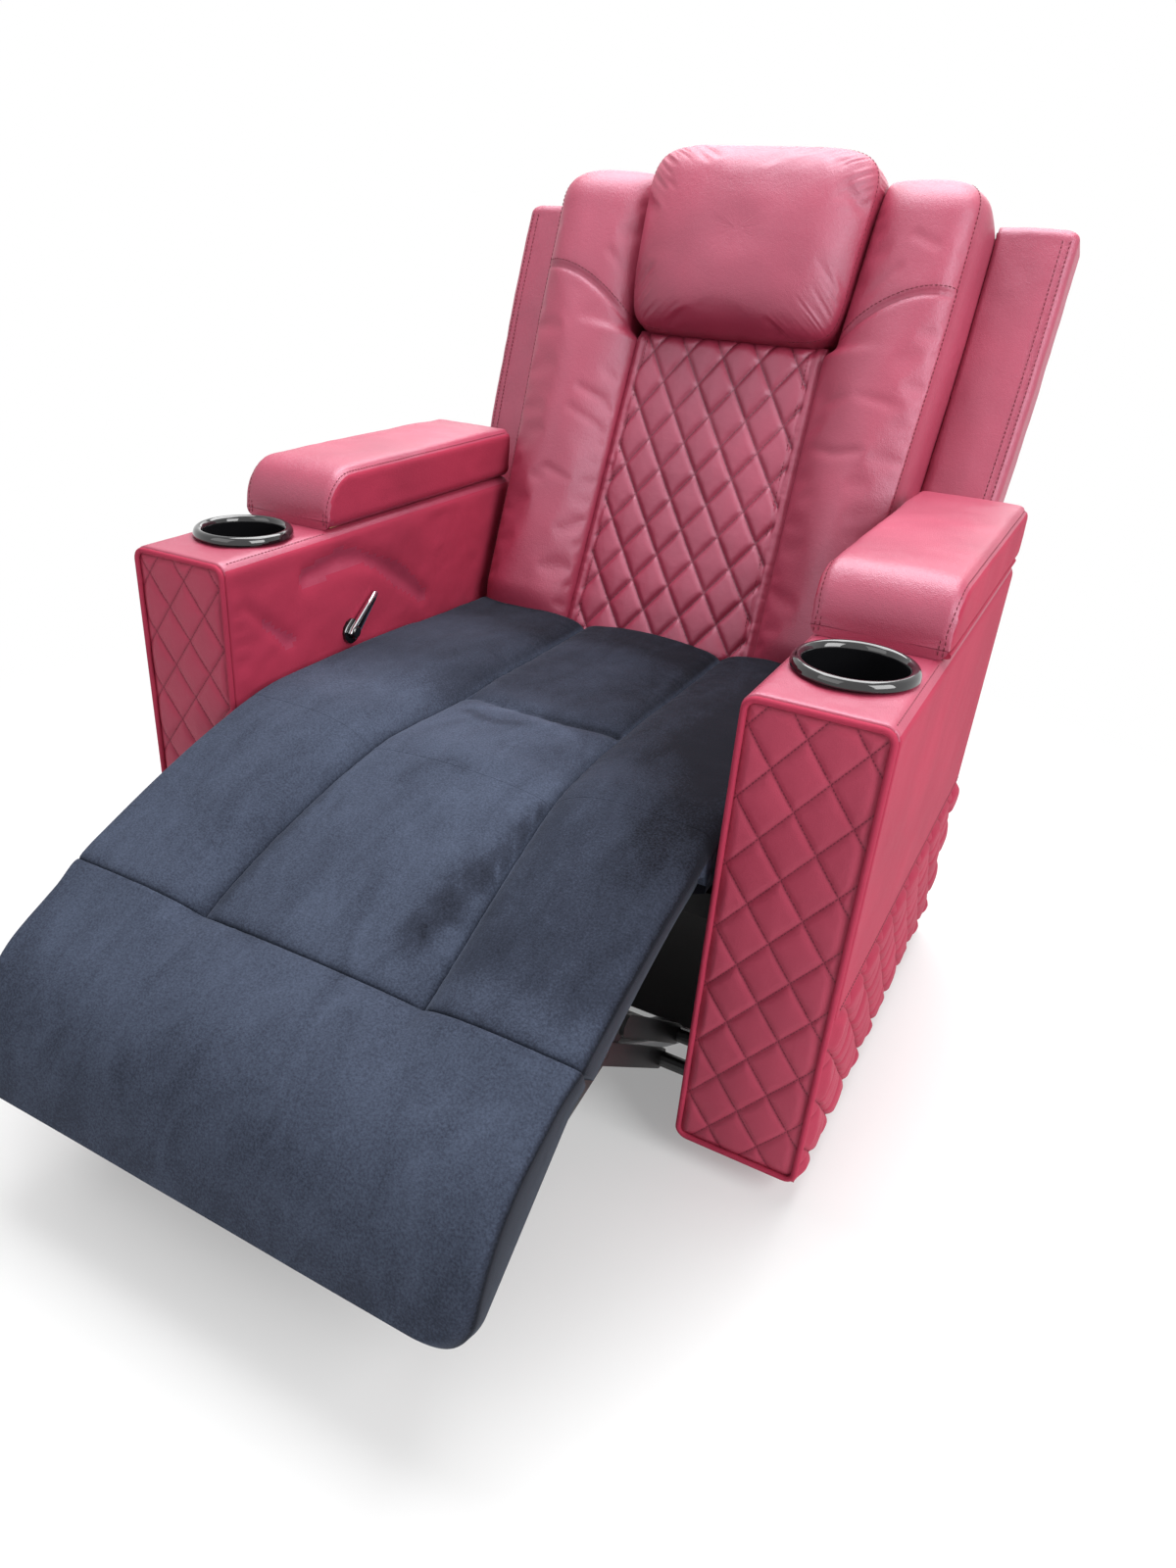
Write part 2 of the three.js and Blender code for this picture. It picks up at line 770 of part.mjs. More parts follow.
function seatFrame(parent) {
  const inner = seatRailOuter - seatRailWidth;
  bothSides(
    parent,
    "seat_side_rail",
    () => block(vec(inner, seatFront, seatRailBottom), vec(seatRailOuter, seatRear, seatRailTop)),
    lining,
  );
  const across = inner - fit;
  const crossRailBottom = seatRailTop - crossRailHeight;
  for (const [name, from, to] of [
    ["seat_front_rail", seatFront, seatFront + crossRailWidth],
    ["seat_rear_rail", seatRear - crossRailWidth, seatRear],
  ]) {
    mesh(parent, name, block(vec(-across, from, crossRailBottom), vec(across, to, seatRailTop)), lining);
  }
  const gap = (2 * across) / (springCount + 1);
  for (let i = 0; i < springCount; i += 1) {
    mesh(parent, `seat_spring_${i + 1}`, zigzagSpring(-across + gap * (i + 1)), silverSteel);
  }
}

// A sinuous spring: one wire that swings from side to side on its way from rail to rail
function zigzagSpring(x) {
  const from = seatFront + crossRailWidth / 3;
  const to = seatRear - crossRailWidth / 3;
  const swings = Math.round((to - from) / springPitch);
  const points = [];
  for (let i = 0; i <= swings; i += 1) {
    const ends = i === 0 || i === swings;
    const side = i % 2 === 0 ? 1 : -1;
    const swing = ends ? 0 : side * springSwing;
    points.push(vec(x + swing, mix(from, to, i / swings), springBottom + springWire / 2));
  }
  const path = new THREE.CatmullRomCurve3(points);
  const sides = 5;
  const wire = new THREE.Shape();
  for (let i = 0; i < sides; i += 1) {
    const turn = (i / sides) * Math.PI * 2;
    const place = [(Math.cos(turn) * springWire) / 2, (Math.sin(turn) * springWire) / 2];
    if (i === 0) wire.moveTo(...place);
    else wire.lineTo(...place);
  }
  return new THREE.ExtrudeGeometry(wire, { steps: swings * 4, extrudePath: path, bevelEnabled: false });
}

// Base: a floor ring, a welded cross with the fixed half of the turntable, and the turning half
function base(parent) {
  const frame = new THREE.Group();
  frame.position.set(0, swivelFromFront, 0);
  parent.add(frame);
  const inner = ringRadius - ringWidth;
  const middle = ringRadius - ringWidth / 2;
  const crown = 6;
  const section = [new THREE.Vector2(inner, 0), new THREE.Vector2(ringRadius, 0)];
  for (let i = 0; i <= crown; i += 1) {
    const turn = (i / crown) * Math.PI;
    const out = middle + (Math.cos(turn) * ringWidth) / 2;
    section.push(new THREE.Vector2(out, ringHeight * mix(0.35, 1, Math.sin(turn))));
  }
  section.push(new THREE.Vector2(inner, 0));
  const ring = new THREE.LatheGeometry(section, 48).rotateX(Math.PI / 2);
  mesh(frame, "base_ring", outward(ring), silverSteel);

  const barTop = ringHeight + fit + barHeight;
  const bars = [vec(1, 0, 0), vec(0, 1, 0)].map((way) => {
    const along = way.clone().multiplyScalar(middle);
    const side = vec(way.y, way.x, 0).multiplyScalar(barWidth / 2);
    const reach = along.add(side);
    return block(vec(-reach.x, -reach.y, ringHeight + fit), vec(reach.x, reach.y, barTop));
  });
  const plate = pushZ(turnPlate(), barTop, barTop + turnPlateThick);
  const race = new THREE.CylinderGeometry(turnRaceRadius, turnRaceRadius, turnRaceHeight, 32);
  race.rotateX(Math.PI / 2).translate(0, 0, barTop + turnPlateThick + turnRaceHeight / 2);
  mesh(frame, "base_cross", joined(...bars, plate, race), blackSteel);

  const turning = barTop + turnPlateThick + turnRaceHeight + fit;
  mesh(frame, "swivel_upper_plate", pushZ(turnPlate(), turning, turning + turnPlateThick), blackSteel);
  const railBottom = turning + turnPlateThick + fit;
  const railReach = plateInner - fit;
  for (const [name, side] of [["cross_rail_front", -1], ["cross_rail_rear", 1]]) {
    const tube = roundedBox(
      new THREE.Shape(),
      [side * (railSpread / 2) - railWidth / 2, railBottom],
      [side * (railSpread / 2) + railWidth / 2, railBottom + railHeight],
      railTube,
    );
    mesh(frame, name, pushX(tube, -railReach, railReach), blackSteel);
  }
  const coverBottom = railBottom + railHeight + fit;
  const cover = block(
    vec(-railReach, coverFront - swivelFromFront, coverBottom),
    vec(railReach, coverRear - swivelFromFront, coverBottom + coverThick),
  );
  mesh(frame, "dust_cover", cover, lining);
}

function outward(geometry) {
  const clean = closed(geometry);
  const index = Array.from(clean.getIndex().array);
  const place = clean.getAttribute("position");
  const points = [];
  for (let i = 0; i < place.count; i += 1) points.push(vec(place.getX(i), place.getY(i), place.getZ(i)));
  const faces = [];
  for (let i = 0; i < index.length; i += 3) {
    const [a, b, c] = index.slice(i, i + 3);
    if (a !== b && b !== c && a !== c) faces.push([a, b, c]);
  }
  return fromTriangles(points, faces);
}

function turnPlate() {
  const half = turnPlateSide / 2;
  return roundedBox(new THREE.Shape(), [-half, -half], [half, half], plateCorner);
}

// Arms
function armOutline(inset) {
  return roundedBox(
    new THREE.Shape(),
    [armInner + inset, armFloorGap + inset],
    [armOuter - inset, deckHeight - inset],
    armCornerRadius - inset,
  );
}

const armFace = 2 * weltRadius + fit; // the carcass starts behind the piping
const quiltBase = armOuter - sideQuiltDepth;

function armBody() {
  const carcass = pushY(armOutline(0), armFace, armDepth);
  const overrun = cupRimHeight;
  const cupRadius = cupRimRadius - cupRimWidth + cupWall + fit;
  const cupHole = new THREE.CylinderGeometry(cupRadius, cupRadius, cupDepth + overrun, 32);
  cupHole.rotateX(Math.PI / 2);
  cupHole.translate(armMiddle, cupCentreFromFront, deckHeight + (overrun - cupDepth - 2 * fit) / 2);
  const [low, high] = binBox(fit);
  const bin = block(low, vec(high.x, high.y, deckHeight + overrun));
  const recess = block(
    vec(quiltBase, armFace - overrun, armFloorGap - overrun),
    vec(armOuter + overrun, armDepth + overrun, armFloorGap + sideQuiltHeight + fit),
  );
  return cut(carcass, cupHole, bin, recess);
}

// The outside of the storage bin, grown by a clearance
function binBox(grow) {
  return [
    vec(armInner + binEdge - grow, lidFront + binEnd - grow, deckHeight - binDepth - grow),
    vec(armOuter - binEdge + grow, lidRear - binEnd + grow, deckHeight - fit),
  ];
}

function storageTray() {
  const [low, high] = binBox(0);
  const inside = block(
    low.clone().addScalar(binWall),
    vec(high.x - binWall, high.y - binWall, high.z + binWall),
  );
  return cut(block(low, high), inside);
}

function cupHolder() {
  const bore = cupRimRadius - cupRimWidth;
  const floor = -cupDepth;
  const rim = cupRimWidth / 2;
  const points = [[0, floor], [bore + cupWall - cupDraft, floor], [bore + cupWall, 0]];
  points.push([cupRimRadius - rim / 2, fit]);
  const steps = 6;
  for (let i = 0; i <= steps; i += 1) {
    const turn = (i / steps) * Math.PI;
    const rise = mix(cupRimFoot, cupRimHeight, Math.sin(turn));
    points.push([bore + rim + Math.cos(turn) * rim, fit + rise]);
  }
  points.push([bore, 0], [bore - cupDraft, floor + cupWall], [0, floor + cupWall]);
  const turned = new THREE.LatheGeometry(points.map(([r, z]) => new THREE.Vector2(r, z)), 32);
  turned.rotateX(Math.PI / 2);
  return outward(turned).translate(armMiddle, cupCentreFromFront, deckHeight);
}

// The quilted panel inside the piping on the arm's front
function armFrontPanel() {
  const inset = 2 * weltRadius + fit;
  const low = [armInner + inset, armFloorGap + inset];
  const high = [armOuter - inset, deckHeight - inset];
  const flat = (u, v, depth) => {
    const pull = Math.abs(2 * u - 1) === 1 && Math.abs(2 * v - 1) === 1 ? weltRadius : 0;
    const x = mix(low[0], high[0], u) + pull * (1 - 2 * u);
    return vec(x, depth, mix(low[1], high[1], v) + pull * (1 - 2 * v));
  };
  const columns = Math.round(((high[0] - low[0]) * 4) / quiltWide);
  const rows = Math.round(((high[1] - low[1]) * 4) / quiltTall);
  const face = (u, v) => {
    const edge = Math.min(u, 1 - u, v * 3, (1 - v) * 3) * 8;
    const rise = frontQuiltRise * diamond(((u - 0.5) * columns) / 4, ((v - 0.5) * rows) / 4, 1, 1);
    return flat(u, v, frontPanelFace - rise * Math.min(1, edge));
  };
  return panel(columns, rows, face, (u, v) => flat(u, v, 2 * weltRadius), diamondSplit(4));
}

// Puffy diamonds low on the arm's outer side
function armSideQuilt() {
  const low = [armFace, armFloorGap];
  const high = [armDepth, armFloorGap + sideQuiltHeight];
  const columns = Math.round(((high[0] - low[0]) * 2) / quiltWide);
  const rows = Math.round(((high[1] - low[1]) * 2) / quiltTall);
  const flat = quiltBase + sideQuiltDepth - sideQuiltRise / 2;
  const face = (u, v) => {
    const rise = diamond(((u - 0.5) * columns) / 2, (v * rows) / 2, 1, 1);
    const edge = Math.min(1, Math.min(u, 1 - u) * columns, Math.min(v, 1 - v) * rows);
    return vec(flat + sideQuiltRise * rise * edge, mix(low[0], high[0], u), mix(low[1], high[1], v));
  };
  const back = (u, v) => vec(quiltBase + fit, mix(low[0], high[0], u), mix(low[1], high[1], v));
  return panel(columns, rows, face, back, diamondSplit(2));
}

function armPiping() {
  const closest = weltRadius / 4;
  const corners = armOutline(weltRadius).getPoints(4).map((p) => vec(p.x, weltRadius, p.y));
  const points = corners.filter((p, i) => i === 0 || p.distanceTo(corners[i - 1]) > closest);
  if (points[0].distanceTo(points[points.length - 1]) < closest) points.pop();
  return closedTube(points, weltRadius, 6);
}

// A round section carried along a closed loop that lies in one plane across Y
function closedTube(points, radius, sides) {
  const count = points.length;
  const rings = points.map((p, i) => {
    const before = points[(i + count - 1) % count];
    const after = points[(i + 1) % count];
    const tangent = after.clone().sub(before).normalize();
    const out = vec(tangent.z, 0, -tangent.x);
    const ring = [];
    for (let j = 0; j < sides; j += 1) {
      const turn = (j / sides) * Math.PI * 2;
      const place = p.clone().addScaledVector(out, Math.cos(turn) * radius);
      ring.push(place.addScaledVector(vec(0, 1, 0), Math.sin(turn) * radius));
    }
    return ring;
  });
  const faces = [];
  for (let i = 0; i < count; i += 1) {
    const next = (i + 1) % count;
    for (let j = 0; j < sides; j += 1) {
      const k = (j + 1) % sides;
      faces.push(
        [i * sides + j, i * sides + k, next * sides + k],
        [i * sides + j, next * sides + k, next * sides + j],
      );
    }
  }
  return fromTriangles(rings.flat(), faces);
}

// Lids
const lidBottom = deckHeight + fit;
const lidAxis = lidPinRadius + fit; // the hinge's distance from the arm's outer side and deck

function lidPad() {
  const corner = 4;
  const rings = [];
  const stations = [];
  for (let i = 0; i <= corner; i += 1) {
    const turn = (i / corner) * (Math.PI / 2);
    const drop = lidFrontRadius * (1 - Math.sin(turn));
    stations.push([lidFront + lidFrontRadius * (1 - Math.cos(turn)), lidHeight - drop]);
  }
  stations.push([mix(lidFront, lidRear, 0.5), lidHeight + lidCrown]);
  stations.push([lidRear - lidEdgeRadius, lidHeight]);
  stations.push([lidRear, lidHeight - lidEdgeRadius / 2]);
  for (const [y, height] of stations) {
    const ring = [[armInner, 0], [armOuter, 0]];
    for (const [middle, start] of [[armOuter - lidEdgeRadius, 0], [armInner + lidEdgeRadius, 1]]) {
      for (let i = 0; i <= corner; i += 1) {
        const turn = ((start + i / corner) * Math.PI) / 2;
        ring.push([
          middle + Math.cos(turn) * lidEdgeRadius,
          height - lidEdgeRadius + Math.sin(turn) * lidEdgeRadius,
        ]);
      }
    }
    rings.push(ring.map(([x, z]) => vec(x, y, lidBottom + z)));
  }
  const notch = 2 * lidAxis;
  const hingeRoom = block(
    vec(armOuter - lidBoardInset, lidFront - notch, lidBottom - notch),
    vec(armOuter + notch, lidRear + notch, lidBottom + notch - fit),
  );
  const [low, high] = lidBoardBox(fit);
  const boardRoom = block(vec(low.x, low.y, lidBottom - notch), high);
  return cut(loft(rings), hingeRoom, boardRoom);
}

function lidBoardBox(grow) {
  return [
    vec(armInner + lidBoardInset - grow, lidFront + lidBoardInset - grow, lidBottom + lidLeafThick + fit),
    vec(
      armOuter - lidBoardInset + grow,
      lidRear - lidBoardInset + grow,
      lidBottom + lidLeafThick + fit + lidBoardThick + grow,
    ),
  ];
}

function lidHinge() {
  const from = lidFront + lidBoardInset;
  const to = lidRear - lidBoardInset;
  const barrel = new THREE.Shape();
  const axis = armOuter - lidAxis;
  const height = deckHeight + lidAxis + fit;
  barrel.absarc(axis, height, lidPinRadius, 0, Math.PI * 2);
  const leaf = block(
    vec(axis - lidLeafWidth, from, lidBottom),
    vec(axis, to, lidBottom + lidLeafThick),
  );
  return joined(pushY(barrel, from, to), leaf);
}

function arms(parent) {
  bothSides(parent, "arm_body", armBody, leather);
  bothSides(parent, "arm_front_panel", armFrontPanel, leather);
  bothSides(parent, "arm_piping", armPiping, leather);
  bothSides(parent, "arm_side_quilt", armSideQuilt, leather);
  bothSides(parent, "cup_holder", cupHolder, glossBlack);
  bothSides(parent, "storage_tray", storageTray, mattBlack);
  bothSides(parent, "lid_pad", lidPad, leather);
  bothSides(parent, "lid_board", () => block(...lidBoardBox(0)), timber);
  bothSides(parent, "lid_hinge", lidHinge, silverSteel);
}

// The release lever stands on the inner side of the arm at -X
function lever(parent) {
  const leverHeight = sewnHeight(leverFromFront) + leverAboveSeat;
  const wall = -armInner;
  const bezelFace = wall + fit + bezelThick;
  const bezel = disc(leverFromFront, leverHeight, bezelRadius);
  mesh(parent, "lever_bezel", pushX(bezel, wall + fit, bezelFace), glossBlack);
  const hub = disc(leverFromFront, leverHeight, leverHubRadius);
  const blade = new THREE.Shape();
  const along = new THREE.Vector2(Math.cos(leverAngle), Math.sin(leverAngle));
  const aside = new THREE.Vector2(-along.y, along.x);
  const half = leverWidth / 2;
  const place = (reach, side) => [
    leverFromFront + along.x * reach + aside.x * side,
    leverHeight + along.y * reach + aside.y * side,
  ];
  const tipRadius = half / 2;
  blade.moveTo(...place(0, -half));
  blade.lineTo(...place(leverLength - tipRadius, -tipRadius));
  blade.absarc(
    ...place(leverLength - tipRadius, 0),
    tipRadius,
    leverAngle - Math.PI / 2,
    leverAngle + Math.PI / 2,
  );
  blade.lineTo(...place(0, half));
  const from = bezelFace + fit;
  const handle = joined(pushX(hub, from, from + leverThick), pushX(blade, from, from + leverThick));
  mesh(parent, "lever_handle", handle, chrome);
}

// Backrest, built in its leaning frame: +Z runs up along the back and +Y goes out behind it
function backrest(parent) {
  const frame = new THREE.Group();
  frame.position.set(0, backFootFromFront, backFootHeight);
  frame.rotation.x = -backLean;
  parent.add(frame);
  backFrame(frame);
  mesh(frame, "lumbar_pad", lumbarPad(), leather);
  mesh(frame, "head_cushion", headCushion(), leather);
  bothSides(frame, "bolster", bolster, leather);
  bothSides(frame, "wing", wing, leather);
}

const postFace = cushionDepth + fit;
const postBack = postFace + postDepth;
const postOuter = plateInner - 2 * fit - plateThick;

function backFrame(frame) {
  const inner = postOuter - postWidth;
  bothSides(
    frame,
    "back_post",
    () => block(vec(inner, postFace, postFoot), vec(postOuter, postBack, postTop)),
    timber,
  );
  const across = inner - fit;
  for (const [name, foot] of [
    ["back_bottom_rail", postFoot],
    ["back_top_rail", postTop - backRailHeight],
  ]) {
    const rail = block(vec(-across, postFace, foot), vec(across, postBack, foot + backRailHeight));
    mesh(frame, name, rail, timber);
  }
  const board = roundedBox(new THREE.Shape(), [-panelHalf, postFoot], [panelHalf, panelTop], lidFrontRadius);
  mesh(frame, "back_panel", pushY(board, postBack + fit, postBack + fit + panelThick), leather);
  bothSides(frame, "back_bracket", backBracket, blackSteel);
}

// Each bracket is bolted outside a post and turns on a pin in the side plate
function backBracket() {
  const outer = plateInner - fit;
  const inner = outer - plateThick;
  const reach = new THREE.Vector2(backPivotFromFront - backFootFromFront, backPivotHeight - backFootHeight);
  const pivot = reach.rotateAround(new THREE.Vector2(0, 0), backLean);
  const top = wingFoot - softGap;
  const bossTurn = Math.PI / 6;
  const plate = outline([
    [pivot.x - pivotBoss * Math.sin(bossTurn), pivot.y + pivotBoss * Math.cos(bossTurn)],
    [postFace, top],
    [postBack, top],
    [postBack, postFoot],
    [postFace, postFoot],
    [pivot.x, pivot.y - pivotBoss],
  ]);
  const pivotPin = pushX(disc(pivot.x, pivot.y, pivotPinRadius), inner, outer + fit + plateThick);
  const boss = pushX(disc(pivot.x, pivot.y, pivotBoss), inner, outer);
  return joined(pushX(plate, inner, outer), boss, pivotPin);
}

function lumbarHalf(height) {
  return mix(lumbarHalfFoot, lumbarHalfTop, height / lumbarTop);
}

function lumbarPad() {
  const bottom = -backTuck;
  const columns = 4 * Math.round((lumbarHalfFoot + lumbarHalfTop) / lumbarQuiltWide);
  const rows = 2 * Math.round((2 * (lumbarTop - bottom)) / lumbarQuiltTall);
  const face = (u, v) => {
    const z = mix(bottom, lumbarTop - softGap, v);
    const x = mix(-1, 1, u) * (lumbarHalf(z) - softGap / 2);
    const edge = Math.min(1, (Math.min(u, 1 - u) * columns) / 2, (Math.min(v, 1 - v) * rows) / 2);
    const rise = diamond(((u - 0.5) * columns) / 4, (v * rows) / 4, 1, 1);
    return vec(x, -lumbarRise * rise * edge, z);
  };
  const back = (u, v) => {
    const z = mix(bottom, lumbarTop - softGap, v);
    return vec(mix(-1, 1, u) * (lumbarHalf(z) - softGap / 2), cushionDepth, z);
  };
  return panel(columns, rows, face, back, diamondSplit(4));
}

function headHalf(height) {
  return mix(headHalfFoot, headHalfTop, (height - headFoot) / (headTop - headFoot));
}

// A long bolster beside the lumbar panel and the head cushion
function bolster() {
  const lowShares = [0, 0.05, 0.14, 0.3, 0.48, 0.68, 0.86, 1];
  const highShares = [0, 0.2, 0.42, 0.62, 0.78, 0.9, 0.97, 1];
  const shoulderShare = 0.5; // the outer corner is rounded above this share of the upper part
  const roundShare = 0.75; // how much of the crown is gone at the top
  const faceShares = [[0.12, 0.55], [0.3, 0.93], [0.5, 1], [0.7, 0.88]]; // across, and of the crown
  const lipShares = [0.88, 0.4]; // across, and between the seam and the crown
  const edgeShares = [0.97, 0.6]; // across, and of the seam
  const sideShare = 0.55; // of the depth, where the outer side turns straight
  const notchHeight = headFoot - softGap;
  const lowTop = notchHeight - headHalfFoot + lumbarHalfTop;
  const heights = [
    ...lowShares.map((share) => mix(-backTuck, lowTop, share)),
    ...highShares.map((share) => mix(notchHeight, bolsterTop, share)),
  ];
  const rings = [];
  for (const z of heights) {
    const share = (z + backTuck) / (bolsterTop + backTuck);
    const foot = smooth(share * 5);
    const high = Math.max(0, (z - notchHeight) / (bolsterTop - notchHeight) - shoulderShare);
    const head = Math.sqrt(1 - (high / (1 - shoulderShare)) ** 3 * roundShare);
    const bulge = smooth((z - bolsterBulgeAt / 2) / bolsterBulgeAt);
    const outer = mix(bolsterHalf, bolsterBulge, bulge) - bolsterShoulder * (1 - head);
    const inner = (z <= lowTop ? lumbarHalf(z) : headHalf(z)) + softGap / 2;
    const crown = bolsterCrown * foot * head;
    const seam = bolsterSeam * foot * head;
    const wide = outer - inner;
    const side = Math.min(outer, bolsterHalf);
    rings.push([
      vec(inner, 0, z),
      ...faceShares.map(([across, rise]) => vec(inner + wide * across, -crown * rise, z)),
      vec(inner + wide * lipShares[0], -mix(seam, crown, lipShares[1]), z),
      vec(inner + wide * edgeShares[0], -seam * edgeShares[1], z),
      vec(outer, bolsterSeam, z),
      vec(side, cushionDepth * sideShare, z),
      vec(side, cushionDepth, z),
      vec(inner, cushionDepth, z),
    ]);
  }
  return loft(rings);
}

// The head cushion hangs in front of the frame between the bolsters
function headCushion() {
  const stations = 12;
  const rings = [];
  const tall = headTop - headFoot;
  const middle = (headTop + headFoot) / 2;
  const sectionPoints = 14;
  const fullBackShare = 1.6; // the back is flat against the frame over the middle of its height
  const sideRoundShare = 0.72; // how much the cushion thins towards its sides
  const sideHeightShare = 0.86; // its height at the sides
  const upPower = 0.45;
  const outPower = 0.5;
  for (let i = 0; i <= stations; i += 1) {
    const across = mix(-1, 1, i / stations);
    const full = Math.sqrt(1 - Math.abs(across) ** 3 * sideRoundShare);
    const ring = [];
    for (let j = 0; j < sectionPoints; j += 1) {
      const turn = (j / sectionPoints) * Math.PI * 2;
      const up = Math.sign(Math.sin(turn)) * Math.abs(Math.sin(turn)) ** upPower;
      const out = Math.sign(Math.cos(turn)) * Math.abs(Math.cos(turn)) ** outPower;
      const depth = out > 0 ? -out * headCrown * full : Math.min(1, -out * fullBackShare) * cushionDepth;
      const z = middle + (up * tall * mix(sideHeightShare, 1, full)) / 2;
      ring.push(vec(across * (headHalf(z) - softGap / 2), depth, z));
    }
    rings.push(ring);
  }
  const shaped = solid(loft(rings));
  const lumbarRoom = block(
    vec(-headHalfTop, -lumbarRise - softGap, 0),
    vec(headHalfTop, cushionDepth, lumbarTop - softGap / 2),
  );
  return unsolid(shaped.subtract(solid(lumbarRoom)));
}

// A flat upholstered wing outside each bolster
function wing() {
  const inner = postOuter + fit;
  const shape = roundedBox(new THREE.Shape(), [inner, wingFoot], [wingReach, wingTop], wingRadius);
  const settings = {
    depth: wingThick - 2 * wingRadius,
    bevelEnabled: true,
    bevelThickness: wingRadius,
    bevelSize: wingRadius / 2,
    bevelOffset: -wingRadius / 2,
    bevelSegments: 3,
    curveSegments: 3,
  };
  const geometry = new THREE.ExtrudeGeometry(shape, settings);
  geometry.translate(0, 0, -(wingFace + wingThick - wingRadius)).applyMatrix4(alongY);
  const room = block(vec(0, 0, 0), vec(bolsterBulge + softGap, cushionDepth, bolsterTop + wingRadius));
  return cut(outward(geometry), room);
}

const chair = new THREE.Group();
base(chair);
sidePlates(chair);
seatFrame(chair);
seatCushion(chair);
arms(chair);
lever(chair);
backrest(chair);
linkage(chair);
chaisePad(chair);
footrest(chair);

// The origin is on the floor in the middle of the footprint
const reach = new THREE.Box3().setFromObject(chair, true);
chair.position.set(0, -(reach.min.y + reach.max.y) / 2, -reach.min.z);

const group = new THREE.Group();
group.add(chair);
export default group;
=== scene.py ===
"""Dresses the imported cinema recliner: leatherette, velvet, quilting, seams and metal."""

import json
import math

import bpy
import numpy as np
from mathutils import Matrix, Vector


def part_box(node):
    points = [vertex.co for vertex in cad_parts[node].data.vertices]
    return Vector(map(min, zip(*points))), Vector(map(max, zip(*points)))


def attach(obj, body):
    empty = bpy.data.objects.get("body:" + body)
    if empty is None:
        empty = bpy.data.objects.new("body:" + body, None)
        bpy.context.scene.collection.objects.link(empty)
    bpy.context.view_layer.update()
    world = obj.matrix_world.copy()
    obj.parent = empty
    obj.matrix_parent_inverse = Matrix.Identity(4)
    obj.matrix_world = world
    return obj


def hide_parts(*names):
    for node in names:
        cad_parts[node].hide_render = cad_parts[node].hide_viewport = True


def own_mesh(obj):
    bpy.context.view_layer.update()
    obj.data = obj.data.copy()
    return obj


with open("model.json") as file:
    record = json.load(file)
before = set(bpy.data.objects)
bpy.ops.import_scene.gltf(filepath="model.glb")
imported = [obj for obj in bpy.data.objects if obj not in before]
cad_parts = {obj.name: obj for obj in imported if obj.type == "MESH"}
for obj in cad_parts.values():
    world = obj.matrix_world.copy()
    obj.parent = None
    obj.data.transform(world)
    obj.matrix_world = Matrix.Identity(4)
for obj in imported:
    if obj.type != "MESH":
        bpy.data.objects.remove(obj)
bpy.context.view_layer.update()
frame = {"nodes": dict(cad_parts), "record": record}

# Lengths are in millimetres in the chair's own frame: x from the middle, y back from the arms'
# front, z up from the floor. MM and to_row() turn them into the row frame's metres. Pieces that come
# in pairs are drawn for the right side and mirrored for the left.
MM = 0.001

# the arms, their quilts, cup holders, lids and bins
ARM_FACE = 9.3  # the arm's body starts behind the piping
ARM_INNER = 304.0
ARM_OUTER = 445.0
ARM_REAR = 640.0
ARM_BOTTOM = 30.0
DECK = 561.0
ARM_CORNER = 16.0
ARM_REAR_ROUND = 12.0
WELT = 4.5
CORD_RADIUS = 3.3
PANEL_FACE = 7.0
QUILT_WIDE = 54.6
QUILT_TALL = 72.4
QUILT_NODE = (368.7, 241.6)
FRONT_PUFF = 5.0
SIDE_QUILT_TOP = 252.0
SIDE_QUILT_WIDE = 66.0
SIDE_QUILT_TALL = 67.0
SIDE_PUFF = 10.5
CUP_X = 374.5
CUP_Y = 115.0
CUP_RIM = 60.0
CUP_BORE = 48.0
CUP_DEPTH = 78.0
LID_FRONT = 195.0
LID_REAR = 635.0
LID_HEIGHT = 71.0
LID_ROLL = 50.0
LID_EDGE = 15.0
LID_REAR_ROUND = 8.0
LID_WALL = 7.7
LID_ROOM = 14.4  # for the board and hinge under the lid
BIN_EDGE = 13.7
BIN_END = 23.7
BIN_DEPTH = 150.3

# the release lever's pivot and how far its blade is turned up
LEVER_Y = 226.0
LEVER_Z = 424.0
LEVER_ANGLE = math.radians(41.0)

# the seat and chaise: the sewn line runs level over the seat and drops towards the footrest
SEAT_HALF = 297.0
SEAT_FRONT = 20.0
SEAT_REAR = 544.0
SEAT_BOTTOM = 326.7
SEWN_REAR = 386.0
SEWN_FRONT = 388.0
SEWN_DROP = 294.0
SEWN_HALF_REAR = 108.0
SEWN_HALF_FRONT = 132.0
SLOPE_START = 60.0
CHANNEL_RISE = 11.0
BOOSTER_RISE = 27.0
BOOSTER_RISE_FRONT = 24.0
EDGE_ROUND = 18.0
EDGE_ROUND_FRONT = 8.0
SEAM_LEAN = 0.65  # how far the seam to the footrest leans forwards as it rises
CROSS_SEAM = 214.0
CROSS_BOW = 26.0
CHAISE_REACH = 237.0
CHAISE_THICK = 56.0
FOLD_HEIGHT = 366.0

# the footrest pad, by y and z of its upper and lower edge
FOOT_TOP = np.array([-CHAISE_REACH, SEWN_DROP])
FOOT_LIP = np.array([-416.0, 138.0])
FOOT_BOW = 50.0
FOOT_THICK = 18.0
FOOT_LEAN = 1.18  # a rise over the chaise, measured square to the leaning footrest

